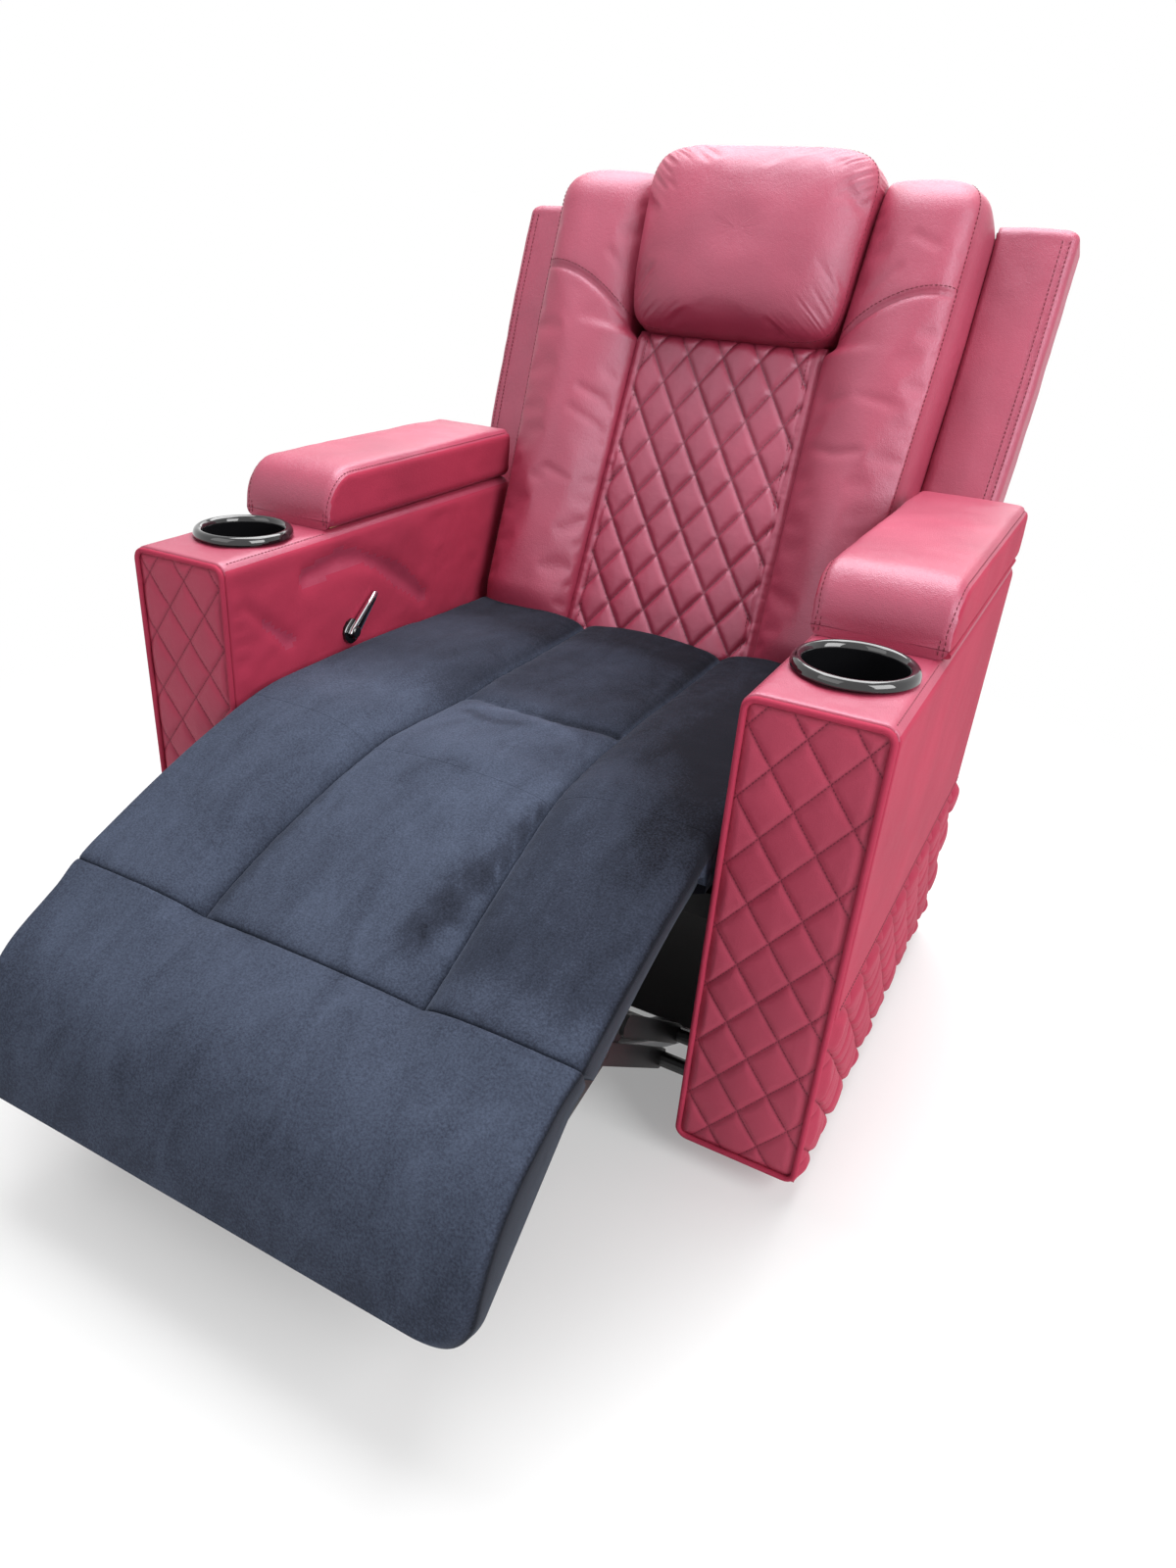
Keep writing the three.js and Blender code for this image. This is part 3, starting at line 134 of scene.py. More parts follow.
# the backrest: heights run up along it from BACK_FOOT
BACK_FOOT = np.array([556.0, 381.0])
BACK_LEAN = math.radians(20.5)
BACK_TUCK = 20.0
CUSHION_DEPTH = 97.0
LUMBAR_TOP = 430.0
LUMBAR_HALF_FOOT = 146.0
LUMBAR_HALF_TOP = 136.0
LUMBAR_PUFF = 8.0
HEAD_FOOT = 424.0
HEAD_TOP = 666.0
HEAD_HALF_FOOT = 150.0
HEAD_HALF_TOP = 162.0
HEAD_CROWN = 78.0
BOLSTER_TOP = 648.0
BOLSTER_HALF = 292.0
BOLSTER_BULGE = 300.0
BOLSTER_CROWN = 48.0
BOLSTER_SEAM = 20.0
WING_FOOT = 92.0
WING_TOP = 620.0
WING_INNER = 295.4
WING_REACH = 402.0
WING_FACE = 68.0
WING_THICK = 74.0

# the steel ring on the floor
RING_Y = 350.0
RING_RADIUS = 293.0
RING_WIDTH = 44.0
RING_HEIGHT = 24.0

front_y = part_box("arm_body_R")[0][1] / MM - ARM_FACE


# ---------------------------------------------------------------- small helpers
def to_row(points):
    """Places in the chair's frame as metres in the row's frame."""
    return (np.asarray(points, float) + np.array([0.0, front_y, 0.0])) * MM


def from_back(x, n, s):
    """Across, forward out of the backrest and up along it, as a place in the chair's frame."""
    x, n, s = np.broadcast_arrays(x, n, s)
    y = BACK_FOOT[0] + s * math.sin(BACK_LEAN) - n * math.cos(BACK_LEAN)
    z = BACK_FOOT[1] + s * math.cos(BACK_LEAN) + n * math.sin(BACK_LEAN)
    return np.stack([x, y, z], -1)


FOOT_MIDDLE = (FOOT_TOP + FOOT_LIP) / 2
FOOT_CHORD = float(np.linalg.norm(FOOT_TOP - FOOT_LIP))
FOOT_ALONG = (FOOT_TOP - FOOT_LIP) / FOOT_CHORD
FOOT_OUT = np.array([-FOOT_ALONG[1], FOOT_ALONG[0]])


def from_foot(x, o, w):
    """Across, out of the footrest's chord and up along it, as a place in the chair's frame."""
    x, o, w = np.broadcast_arrays(x, o, w)
    y = FOOT_MIDDLE[0] + FOOT_ALONG[0] * w + FOOT_OUT[0] * o
    z = FOOT_MIDDLE[1] + FOOT_ALONG[1] * w + FOOT_OUT[1] * o
    return np.stack([x, y, z], -1)


def mix(a, b, share):
    return a + (b - a) * share


def smooth(share):
    """0 up to 0 and 1 from 1 on, with a soft step between."""
    t = np.clip(share, 0.0, 1.0)
    return t * t * (3 - 2 * t)


def round_off(share):
    """How far a round edge falls back: 0 where the rounding starts and 1 at its end."""
    return 1 - np.sqrt(1 - np.clip(share, 0, 1) ** 2)


def inside_of(x, x0, x1, z, z0, z1):
    """How far places lie inside the nearest side of a rectangle."""
    return np.minimum(np.minimum(x - x0, x1 - x), np.minimum(z - z0, z1 - z))


def eased(count):
    """Shares from 0 to 1 that crowd towards both ends."""
    return (1 - np.cos(np.linspace(0, math.pi, count))) / 2


def hashed(i, j, k, seed):
    """A steady random share from 0 to 1 for each whole place."""
    h = (i * 374761393 + j * 668265263 + k * 2246822519 + seed * 3266489917) & 0xFFFFFFFF
    h = ((h ^ (h >> 13)) * 1274126177) & 0xFFFFFFFF
    return ((h ^ (h >> 16)) & 0xFFFFFF) / float(0xFFFFFF)


def value_noise(a, b, c, seed):
    """Smooth noise from -1 to 1 over three coordinates."""
    a, b, c = np.broadcast_arrays(a, b, c)
    i, j, k = (np.floor(v).astype(np.int64) for v in (a, b, c))
    fa, fb, fc = (smooth(v - np.floor(v)) for v in (a, b, c))
    total = 0.0
    for di in (0, 1):
        for dj in (0, 1):
            for dk in (0, 1):
                weight = (fa if di else 1 - fa) * (fb if dj else 1 - fb) * (fc if dk else 1 - fc)
                total = total + weight * hashed(i + di, j + dj, k + dk, seed)
    return total * 2 - 1


def wrinkle(a, b, seed, octaves=3):
    """Soft unevenness of about 1 each way, its largest waves one unit of a and b long."""
    total = 0.0
    size = 1.0
    for octave in range(octaves):
        total = total + value_noise(a / size, b / size, 0.5, seed + octave) * size
        size = size / 2
    return total


def near(distance, width):
    """1 on a line, falling off round like a hill within the width."""
    return np.exp(-((distance / width) ** 2))


def fading(distance, width):
    """1 on a line, falling off at once like a crest within the width."""
    return np.exp(-np.abs(distance) / width)


def groove(distance, depth, width):
    """A soft valley along a line."""
    return -depth * near(distance, width)


def crease(distance, depth, width):
    """A narrow sewn line: steeper at its bottom than a groove."""
    return -depth * fading(distance, width)


def blob(a, b, size_a, size_b):
    """A soft round patch, 1 in its middle."""
    return np.exp(-((a / size_a) ** 2) - (b / size_b) ** 2)


def near_path(a, b, path):
    """The least distance from places (a, b) to a path of points."""
    least = np.full(np.broadcast(a, b).shape, 1e9)
    for (a0, b0), (a1, b1) in zip(path, path[1:]):
        length = (a1 - a0) ** 2 + (b1 - b0) ** 2
        t = np.clip(((a - a0) * (a1 - a0) + (b - b0) * (b1 - b0)) / length, 0, 1)
        least = np.minimum(least, np.hypot(a - mix(a0, a1, t), b - mix(b0, b1, t)))
    return least


def build(name, shape, material, body, nodes=(), side=1, uv=None, sharp=None, nap_and_shade=None):
    """One visual piece from its points and faces, mirrored when side is -1, riding on its body."""
    points, faces = flip_x(*shape, side)
    mesh = bpy.data.meshes.new(name)
    mesh.from_pydata(to_row(points).tolist(), [], faces)
    mesh.update()
    mesh.shade_smooth()
    if uv is not None:
        layer = mesh.uv_layers.new(name="quilt")
        corner = np.zeros(len(mesh.loops), int)
        mesh.loops.foreach_get("vertex_index", corner)
        layer.data.foreach_set("uv", uv[corner].ravel())
    if sharp is not None:
        ends = np.zeros(len(mesh.edges) * 2, int)
        mesh.edges.foreach_get("vertices", ends)
        flags = sharp[ends.reshape(-1, 2)].all(1)
        mesh.attributes.new("sharp_edge", "BOOLEAN", "EDGE").data.foreach_set("value", flags)
    if nap_and_shade is not None:
        mesh.attributes.new("nap_and_shade", "FLOAT", "POINT").data.foreach_set("value", nap_and_shade)
    obj = bpy.data.objects.new(name, mesh)
    bpy.context.scene.collection.objects.link(obj)
    mesh.materials.append(material)
    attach(obj, body)
    if nodes:
        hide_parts(*nodes)
    return obj


SWELL_FRAMES = 16
CLOTH = {
    "quality": 5,
    "mass": 0.3,
    "tension_stiffness": 15.0,
    "compression_stiffness": 15.0,
    "shear_stiffness": 5.0,
    "use_pressure": True,
    "vertex_group_mass": "held",
}


def swell(forms):
    """Lets closed skins swell together as cloth, and puts the moved points back in each form.

    A form holds its points and faces, how firmly each point is held (0 free, 1 fixed), the
    pressure, how stiffly it bends, how much larger the cloth is cut than its form, and how far
    a point may move.
    """
    scene = bpy.context.scene
    objects = []
    for form in forms:
        mesh = bpy.data.meshes.new("swelling")
        mesh.from_pydata((form["points"] * MM).tolist(), [], form["faces"])
        obj = bpy.data.objects.new("swelling", mesh)
        scene.collection.objects.link(obj)
        group = obj.vertex_groups.new(name="held")
        levels = np.round(form["held"], 1)
        for level in np.unique(levels[levels > 0]):
            group.add(np.nonzero(levels == level)[0].tolist(), float(level), "REPLACE")
        cloth = obj.modifiers.new("cloth", "CLOTH")
        for key, value in CLOTH.items():
            setattr(cloth.settings, key, value)
        cloth.settings.bending_stiffness = form["bending"]
        cloth.settings.uniform_pressure_force = form["pressure"]
        cloth.settings.shrink_min = -form["growth"]
        cloth.settings.effector_weights.gravity = 0.0
        cloth.collision_settings.use_collision = False
        cloth.point_cache.frame_start = 1
        cloth.point_cache.frame_end = SWELL_FRAMES
        objects.append(obj)
    for step in range(1, SWELL_FRAMES + 1):
        scene.frame_set(step)
    depsgraph = bpy.context.evaluated_depsgraph_get()
    for form, obj in zip(forms, objects):
        moved = np.zeros(len(form["points"]) * 3)
        obj.evaluated_get(depsgraph).data.vertices.foreach_get("co", moved)
        shift = moved.reshape(-1, 3) / MM - form["points"]
        length = np.linalg.norm(shift, axis=1)
        kept = np.minimum(length, form["cap"]) / np.maximum(length, 1e-6)
        form["points"] = form["points"] + shift * kept[:, None]
    scene.frame_set(1)
    for obj in objects:
        bpy.data.objects.remove(obj)


def quads(rows, columns, wrap=False, closed=False, start=0):
    """Faces over a grid of points: wrap joins the last column to the first, closed the last row."""
    faces = []
    for r in range(rows if closed else rows - 1):
        here = start + r * columns
        there = start + (r + 1) % rows * columns
        for c in range(columns if wrap else columns - 1):
            d = (c + 1) % columns
            faces.append((here + c, here + d, there + d, there + c))
    return faces


def loft(sections, flat_caps=False):
    """Closed sections (rows, points, 3) skinned and capped: returns the points and faces."""
    rows, columns = sections.shape[:2]
    points = sections.reshape(-1, 3)
    faces = quads(rows, columns, wrap=True)
    if flat_caps:
        faces.append(tuple(range(columns))[::-1])
        faces.append(tuple((rows - 1) * columns + c for c in range(columns)))
        return outward(points, faces)
    caps = []
    for row, turned in ((0, True), (rows - 1, False)):
        hub = len(points) + len(caps)
        caps.append(sections[row].mean(0))
        for c in range(columns):
            a = row * columns + c
            b = row * columns + (c + 1) % columns
            faces.append((hub, b, a) if turned else (hub, a, b))
    return outward(np.vstack([points, caps]), faces)


def slab(face, back):
    """A front grid and a back grid (rows, columns, 3) joined round their edge."""
    rows, columns = face.shape[:2]
    count = rows * columns
    points = np.vstack([face.reshape(-1, 3), back.reshape(-1, 3)])
    faces = quads(rows, columns)
    faces += [f[::-1] for f in quads(rows, columns, start=count)]
    edge = list(range(columns))
    edge += [r * columns + columns - 1 for r in range(1, rows)]
    edge += [(rows - 1) * columns + c for c in range(columns - 2, -1, -1)]
    edge += [r * columns for r in range(rows - 2, 0, -1)]
    for a, b in zip(edge, edge[1:] + edge[:1]):
        faces.append((b, a, a + count, b + count))
    return outward(points, faces)


def outward(points, faces):
    """Turns the faces round if they point inwards."""
    volume = 0.0
    for f in faces[:: max(1, len(faces) // 20000)]:
        a = points[f[0]]
        for i in range(1, len(f) - 1):
            volume += float(np.dot(a, np.cross(points[f[i]], points[f[i + 1]])))
    return points, (faces if volume > 0 else [f[::-1] for f in faces])


STITCH = 4.2
STITCH_GAP = 1.6
THREAD = 0.55
THREAD_SIDES = 5


def stitched(paths):
    """Short thread stitches laid along each path: returns the points and faces."""
    points = []
    faces = []
    turn = np.linspace(0, 2 * math.pi, THREAD_SIDES, endpoint=False)
    for path in paths:
        step = np.linalg.norm(np.diff(path, axis=0), axis=1)
        along = np.concatenate([[0], np.cumsum(step)])
        for start in np.arange(0, along[-1] - STITCH, STITCH + STITCH_GAP):
            at = start + STITCH * np.array([0, 0.25, 0.75, 1])
            spots = np.stack([np.interp(at, along, path[:, i]) for i in range(3)], -1)
            way = spots[-1] - spots[0]
            way /= max(1e-9, np.linalg.norm(way))
            side = np.cross(way, [0.3, 0.5, 0.81])
            side /= np.linalg.norm(side)
            up = np.cross(way, side)
            first = len(points)
            for spot, share in zip(spots, (0.35, 1.0, 1.0, 0.35)):
                for t in turn:
                    points.append(spot + (side * math.cos(t) + up * math.sin(t)) * THREAD * share)
            faces += quads(len(spots), THREAD_SIDES, wrap=True, start=first)
            faces.append(tuple(first + c for c in range(THREAD_SIDES))[::-1])
            faces.append(tuple(len(points) - THREAD_SIDES + c for c in range(THREAD_SIDES)))
    return np.array(points), faces


def sew(name, paths, body, side=1):
    build(name, stitched(paths), thread, body, side=side)


def rounded_rectangle(x0, z0, x1, z1, radius, steps):
    """Points round a rectangle with rounded corners, counter-clockwise, and their normals.

    steps is how many pieces the level and the standing sides are divided in.
    """
    places = []
    normals = []
    corners = [
        (x1 - radius, z1 - radius, 0.0, steps[0]),
        (x0 + radius, z1 - radius, 90.0, steps[1]),
        (x0 + radius, z0 + radius, 180.0, steps[0]),
        (x1 - radius, z0 + radius, 270.0, steps[1]),
    ]
    for index, (cx, cz, start, pieces) in enumerate(corners):
        for t in np.radians(np.linspace(start, start + 90.0, 7)):
            places.append((cx + math.cos(t) * radius, cz + math.sin(t) * radius))
            normals.append((math.cos(t), math.sin(t)))
        nx, nz, begin, _ = corners[(index + 1) % 4]
        t = math.radians(begin)
        end = np.array([nx + math.cos(t) * radius, nz + math.sin(t) * radius])
        first = np.array(places[-1])
        for s in range(1, pieces):
            places.append(tuple(mix(first, end, s / pieces)))
            normals.append(normals[-1])
    return np.array(places), np.array(normals)


def flip_x(points, faces, side):
    """The same piece on the other side when side is -1."""
    if side > 0:
        return points, faces
    return points * np.array([-1.0, 1.0, 1.0]), [f[::-1] for f in faces]


# ---------------------------------------------------------------- materials
def new_material(name):
    material = bpy.data.materials.new(name)
    material.use_nodes = True
    tree = material.node_tree
    return material, tree, tree.nodes["Principled BSDF"]


def feed(tree, node, inputs):
    """Sets a node's inputs: a socket is linked in, anything else becomes the input's own value."""
    for key, value in inputs.items():
        if isinstance(value, bpy.types.NodeSocket):
            tree.links.new(value, node.inputs[key])
        else:
            node.inputs[key].default_value = value
    return node


def add(tree, kind, inputs=None, **values):
    """A new shader node, its inputs fed and its settings made."""
    node = tree.nodes.new("ShaderNode" + kind)
    for key, value in values.items():
        setattr(node, key, value)
    return feed(tree, node, inputs or {})


def reckon(tree, operation, *terms):
    return add(tree, "Math", dict(enumerate(terms)), operation=operation).outputs[0]


def noise(tree, place, scale, detail, **inputs):
    inputs.update(Vector=place, Scale=scale, Detail=detail)
    return add(tree, "TexNoise", inputs).outputs["Fac"]


def spread(tree, value, start, end, low, high, kind="LINEAR"):
    """Takes a value between start and end to one between low and high."""
    inputs = {"Value": value, "From Min": start, "From Max": end, "To Min": low, "To Max": high}
    return add(tree, "MapRange", inputs, interpolation_type=kind).outputs["Result"]


def bumped(tree, height, strength, distance, **inputs):
    inputs.update(Height=height, Strength=strength, Distance=distance)
    return add(tree, "Bump", inputs).outputs["Normal"]


def colored(tree, share, *stops):
    """A colour by share, from stops that are a place and a colour each."""
    ramp = add(tree, "ValToRGB", {"Fac": share})
    elements = ramp.color_ramp.elements
    for element, (place, color) in zip(list(elements), (stops[0], stops[-1])):
        element.position = place
        element.color = (*color, 1)
    for place, color in stops[1:-1]:
        elements.new(place).color = (*color, 1)
    return ramp.outputs["Color"]


def object_place(tree):
    return add(tree, "TexCoord").outputs["Object"]


# The darker tone laid along the quilts' pressed lines is painted shade; the thread tone is the thread's own
# colour.
VALLEY_SHADE_TONE = (0.16, 0.012, 0.028)
THREAD_TONE = (0.14, 0.011, 0.027)


def leather_material(name, dark, light, roughness, gloss, quilted=None):
    """Grained leatherette. quilted is the stitch's rhythm and half width in shares of a diamond."""
    material, tree, shader = new_material(name)
    place = object_place(tree)
    color = colored(tree, noise(tree, place, 6.0, 4.0), (0.32, dark), (0.68, light))
    grain = add(tree, "TexVoronoi", {"Vector": place, "Scale": 560.0}, feature="DISTANCE_TO_EDGE")
    pores = noise(tree, place, 240.0, 4.0)
    both = reckon(tree, "MULTIPLY_ADD", pores, 0.9, grain.outputs["Distance"])
    normal = bumped(tree, both, 0.5, 0.0007)
    if quilted:
        color, normal = sewn_diamonds(tree, color, normal, *quilted)
    look = {"Base Color": color, "Normal": normal, "Roughness": roughness}
    # The bluish Specular Tint is painted light: it colours the leather's reflections as a bluish sky light
    # would.
    feed(tree, shader, look | {"Specular IOR Level": gloss, "Specular Tint": (0.8, 0.86, 1.0, 1)})
    return material


def sewn_diamonds(tree, color, normal, pitch, width):
    """Pressed lines darkened with painted shade, and thread, where either diamond coordinate is a whole
    number.
    """
    layer = add(tree, "UVMap", uv_map="quilt")
    split = add(tree, "SeparateXYZ", {0: layer.outputs["UV"]}).outputs
    threads = []
    valley_shades = []
    for along, across in (("Y", "X"), ("X", "Y")):
        off = reckon(tree, "PINGPONG", split[across], 0.5)
        valley_shades.append(spread(tree, off, width, width * 4.5, 1.0, 0.0, "SMOOTHSTEP"))
        part = reckon(tree, "FRACT", reckon(tree, "MULTIPLY", split[along], pitch))
        dash = reckon(tree, "LESS_THAN", part, 0.62)
        threads.append(reckon(tree, "MULTIPLY", reckon(tree, "LESS_THAN", off, width), dash))
    valley_shade = reckon(tree, "MAXIMUM", *valley_shades)
    sewn = reckon(tree, "MAXIMUM", *threads)
    # The first mask darkens the pressed lines with painted shade, the second lays the thread's colour.
    for mask, tone, strength in ((valley_shade, VALLEY_SHADE_TONE, 0.25), (sewn, THREAD_TONE, 0.8)):
        share = reckon(tree, "MULTIPLY", mask, strength)
        inputs = {"Factor": share, "A": color, "B": (*tone, 1)}
        color = add(tree, "Mix", inputs, data_type="RGBA").outputs["Result"]
    return color, bumped(tree, sewn, 0.7, 0.0009, Normal=normal)


def velvet_material(name, dark, middle, light):
    """Short pile. The nap attribute runs from 0, dark, to 1, light: it holds how the pile lies together
    with painted shade.
    """
    material, tree, shader = new_material(name)
    place = object_place(tree)
    nap_and_shade = add(tree, "Attribute", attribute_name="nap_and_shade").outputs["Fac"]
    stretch = {"Vector": place, "Scale": (26.0, 9.0, 14.0), "Rotation": (0, 0, 0.35)}
    stretched = add(tree, "Mapping", stretch).outputs["Vector"]
    strokes = noise(tree, stretched, 1.0, 6.0, Roughness=0.6, Distortion=0.8)
    lie_and_shade = reckon(tree, "ADD", nap_and_shade, spread(tree, strokes, 0.3, 0.7, -0.09, 0.09))
    specks = spread(tree, noise(tree, place, 480.0, 3.0), 0.3, 0.7, -0.15, 0.15)
    mottled_and_shade = reckon(tree, "ADD", lie_and_shade, specks)
    pile = reckon(tree, "MULTIPLY_ADD", strokes, 1.2, noise(tree, place, 950.0, 2.0))
    look = {
        "Base Color": colored(tree, mottled_and_shade, (0.0, dark), (0.5, middle), (1.0, light)),
        "Roughness": 0.95,
        "Specular IOR Level": 0.12,
        "Sheen Weight": 0.15,
        "Sheen Roughness": 0.4,
        "Sheen Tint": (0.5, 0.58, 0.75, 1),
        "Normal": bumped(tree, pile, 0.35, 0.001),
    }
    feed(tree, shader, look)
    return material


def plain_material(name, color, roughness, metallic=0.0, coat=0.0, speckle=0.0, scale=400.0):
    """One colour. speckle is how deep its fine bumps are, which make the shine uneven too."""
    material, tree, shader = new_material(name)
    look = {"Base Color": (*color, 1), "Roughness": roughness, "Metallic": metallic, "Coat Weight": coat}
    if speckle:
        uneven = noise(tree, object_place(tree), scale, 4.0)
        look["Normal"] = bumped(tree, uneven, speckle, 0.0005)
        low, high = max(0.02, roughness - 0.08), min(1.0, roughness + 0.12)
        look["Roughness"] = spread(tree, uneven, 0.0, 1.0, low, high)
    feed(tree, shader, look)
    return material


def wood_material(name):
    material, tree, shader = new_material(name)
    stretch = {"Vector": object_place(tree), "Scale": (14.0, 2.0, 14.0)}
    stretched = add(tree, "Mapping", stretch).outputs["Vector"]
    waves = {"Vector": stretched, "Scale": 2.5, "Distortion": 6.0, "Detail": 3.0}
    rings = add(tree, "TexWave", waves, wave_type="BANDS", bands_direction="X").outputs["Fac"]
    color = colored(tree, rings, (0.0, (0.42, 0.27, 0.13)), (1.0, (0.62, 0.45, 0.26)))
    feed(tree, shader, {"Base Color": color, "Roughness": 0.6})
    return material


RED_DARK = (0.30, 0.027, 0.061)
RED_LIGHT = (0.40, 0.040, 0.086)
PANEL_DARK = (0.345, 0.036, 0.071)
PANEL_LIGHT = (0.42, 0.048, 0.090)
leather = leather_material("leatherette", RED_DARK, RED_LIGHT, 0.45, 1.0)
dull_leather = leather_material("leatherette_dull", PANEL_DARK, (0.42, 0.041, 0.083), 0.6, 0.05)
back_leather = leather_material(
    "leatherette_quilted_back", RED_DARK, RED_LIGHT, 0.45, 1.0, quilted=(11.0, 0.012)
)
front_leather = leather_material(
    "leatherette_quilted_front", PANEL_DARK, PANEL_LIGHT, 0.5, 0.3, quilted=(11.0, 0.013)
)
side_leather = leather_material(
    "leatherette_quilted_side", PANEL_DARK, PANEL_LIGHT, 0.6, 0.1, quilted=(10.0, 0.015)
)
thread = plain_material("thread", THREAD_TONE, 0.7)
velvet = velvet_material("velvet", (0.004, 0.0045, 0.008), (0.028, 0.034, 0.053), (0.074, 0.092, 0.139))
lining = plain_material("lining", (0.012, 0.012, 0.013), 0.9, speckle=0.5, scale=600.0)
gloss_black = plain_material("gloss_black", (0.006, 0.006, 0.007), 0.08, coat=0.6)
matt_black = plain_material("matt_black", (0.012, 0.012, 0.012), 0.6, speckle=0.2)
black_steel = plain_material("black_steel", (0.012, 0.012, 0.013), 0.38, speckle=0.25, scale=700.0)
silver_steel = plain_material("silver_steel", (0.42, 0.43, 0.44), 0.36, metallic=0.7, speckle=0.1)
spring_steel = plain_material("spring_steel", (0.35, 0.35, 0.36), 0.35, metallic=0.9, speckle=0.1)
chrome = plain_material("chrome", (0.78, 0.79, 0.81), 0.07, metallic=1.0)
timber = wood_material("timber")


# ---------------------------------------------------------------- arms
def arm(side, letter):
    """An arm's leather with its slack folds, open for the cup, the bin and the side quilt."""
    places, normals = rounded_rectangle(ARM_INNER, ARM_BOTTOM, ARM_OUTER, DECK, ARM_CORNER, (17, 80))
    x, z = places[:, 0], places[:, 1]
    straight = np.linspace(ARM_FACE + 0.8, ARM_REAR - ARM_REAR_ROUND, 118)
    ys = [ARM_FACE - 1.3, ARM_FACE - 0.6, *straight]
    insets = [2.2, 0.7] + [0.0] * len(straight)
    for t in np.radians([22.5, 45, 67.5, 90]):
        ys.append(ARM_REAR - ARM_REAR_ROUND + math.sin(t) * ARM_REAR_ROUND)
        insets.append(ARM_REAR_ROUND * (1 - math.cos(t)))
    below_deck = DECK - 14 - z
    on_inner = smooth(ARM_INNER + 1 - x) * smooth((z - 330) / 40.0) * smooth(below_deck / 10.0)
    on_outer = smooth(x - ARM_OUTER + 1) * smooth((z - SIDE_QUILT_TOP - 20) / 30.0)
    on_outer = on_outer * smooth(below_deck / 12.0)
    on_deck = smooth(z - DECK + 1)
    corner = at_corner(normals, 0.12) * (z > DECK - ARM_CORNER)
    sections = []
    for y, inset in zip(ys, insets):
        ends = smooth((y - 16) / 30.0) * smooth((ARM_REAR - 20 - y) / 40.0)
        front = smooth((y - 16) / 12.0) * smooth((LID_FRONT - y) / 8.0)
        gathers = np.sin(z / 4.1 + 2.2 * np.sin(z / 19.0)) * near(y - 24, 12.0)
        slack = wrinkle(y / 120.0, z / 60.0, 8) * 1.3 + wrinkle(y / 34.0, z / 30.0, 9) * 0.4
        around_cup = 0.7 + 0.5 * near(y - CUP_Y, 70.0)
        lift = on_inner * ends * inner_folds(y, z)
        lift = lift + on_inner * 0.9 * gathers + on_outer * ends * slack
        lift = lift + on_deck * front * wrinkle(y / 24.0, x / 30.0, 3) * around_cup
        lift = lift - corner * 1.1 * smooth((y - 12) / 6.0) * smooth((LID_FRONT + 12 - y) / 12.0)
        sections.append(stood_at(y, places + normals * (lift - inset)[:, None]))
    shape = loft(np.array(sections))
    obj = build(f"arm_{letter}", shape, leather, "chair", [f"arm_body_{letter}"], side)
    cut_recesses(obj, side)
    dull_sides(obj)


def stood_at(y, places):
    """Places across and up, standing at y."""
    return np.column_stack([places[:, 0], np.full(len(places), y), places[:, 1]])


def at_corner(normals, width):
    """1 where a rounded rectangle's corner points both ways alike, falling off within a width."""
    return near(np.abs(normals[:, 0]) - math.sqrt(0.5), width)


def dull_sides(obj):
    """Upright sides get the duller leather: seen along the surface, the glossier one turns white."""
    obj.data.materials.append(dull_leather)
    half = (ARM_OUTER - ARM_INNER) / 2 - 2.5
    for face in obj.data.polygons:
        if abs(abs(face.center[0]) / MM - (ARM_OUTER + ARM_INNER) / 2) > half:
            face.material_index = 1


ARCH_FOLD = ((146, 514), (180, 519), (216, 521), (256, 514), (298, 497), (345, 468), (396, 430))
SLANT_FOLD = ((30, 508), (58, 485), (82, 463), (112, 440))


def inner_folds(y, z):
    """The slack leather on an arm's inner side: a long arched fold, a slanting one and small ones."""
    arch = near_path(y, z, ARCH_FOLD)
    slant = near_path(y, z, SLANT_FOLD)
    calm = 1 - 0.7 * blob(y - LEVER_Y - 14, z - LEVER_Z - 14, 46.0, 40.0)
    lift = groove(arch, 5.6, 13.0) + groove(slant, 3.6, 9.0)
    lift = lift + 2.4 * blob(y - 230, z - 462, 70.0, 30.0) + 2.0 * blob(y - 95, z - 500, 40.0, 26.0)
    lift = lift + wrinkle((y + 0.6 * z) / 70.0, (z - 0.4 * y) / 40.0, 12) * 1.5
    lift = lift + wrinkle((y - 0.7 * z) / 22.0, (z + 0.5 * y) / 34.0, 5) * 0.5
    return lift * calm


def cut_recesses(obj, side):
    """Cuts the cup's hole, the storage tray's well and the side quilt's recess."""
    bpy.ops.mesh.primitive_cylinder_add(vertices=64, radius=(CUP_BORE + 2.8) * MM, depth=2 * CUP_DEPTH * MM)
    bore = bpy.context.object
    bore.location = to_row([side * CUP_X, CUP_Y, DECK])
    well = (ARM_OUTER - ARM_INNER - 2 * BIN_EDGE, LID_REAR - LID_FRONT - 2 * BIN_END, 2 * BIN_DEPTH)
    recess = (14.6, ARM_REAR * 1.2, 2 * (SIDE_QUILT_TOP - 10))
    well_middle = (side * (ARM_INNER + ARM_OUTER) / 2, (LID_FRONT + LID_REAR) / 2, DECK)
    recess_middle = (side * ARM_OUTER, ARM_REAR / 2, 10.3)
    cut(obj, [bore, box_cutter(well, well_middle), box_cutter(recess, recess_middle)])
    soften(obj, 40.0)


def box_cutter(size, middle):
    bpy.ops.mesh.primitive_cube_add(size=1.0)
    cube = bpy.context.object
    cube.scale = [v * MM for v in size]
    cube.location = to_row(middle)
    return cube


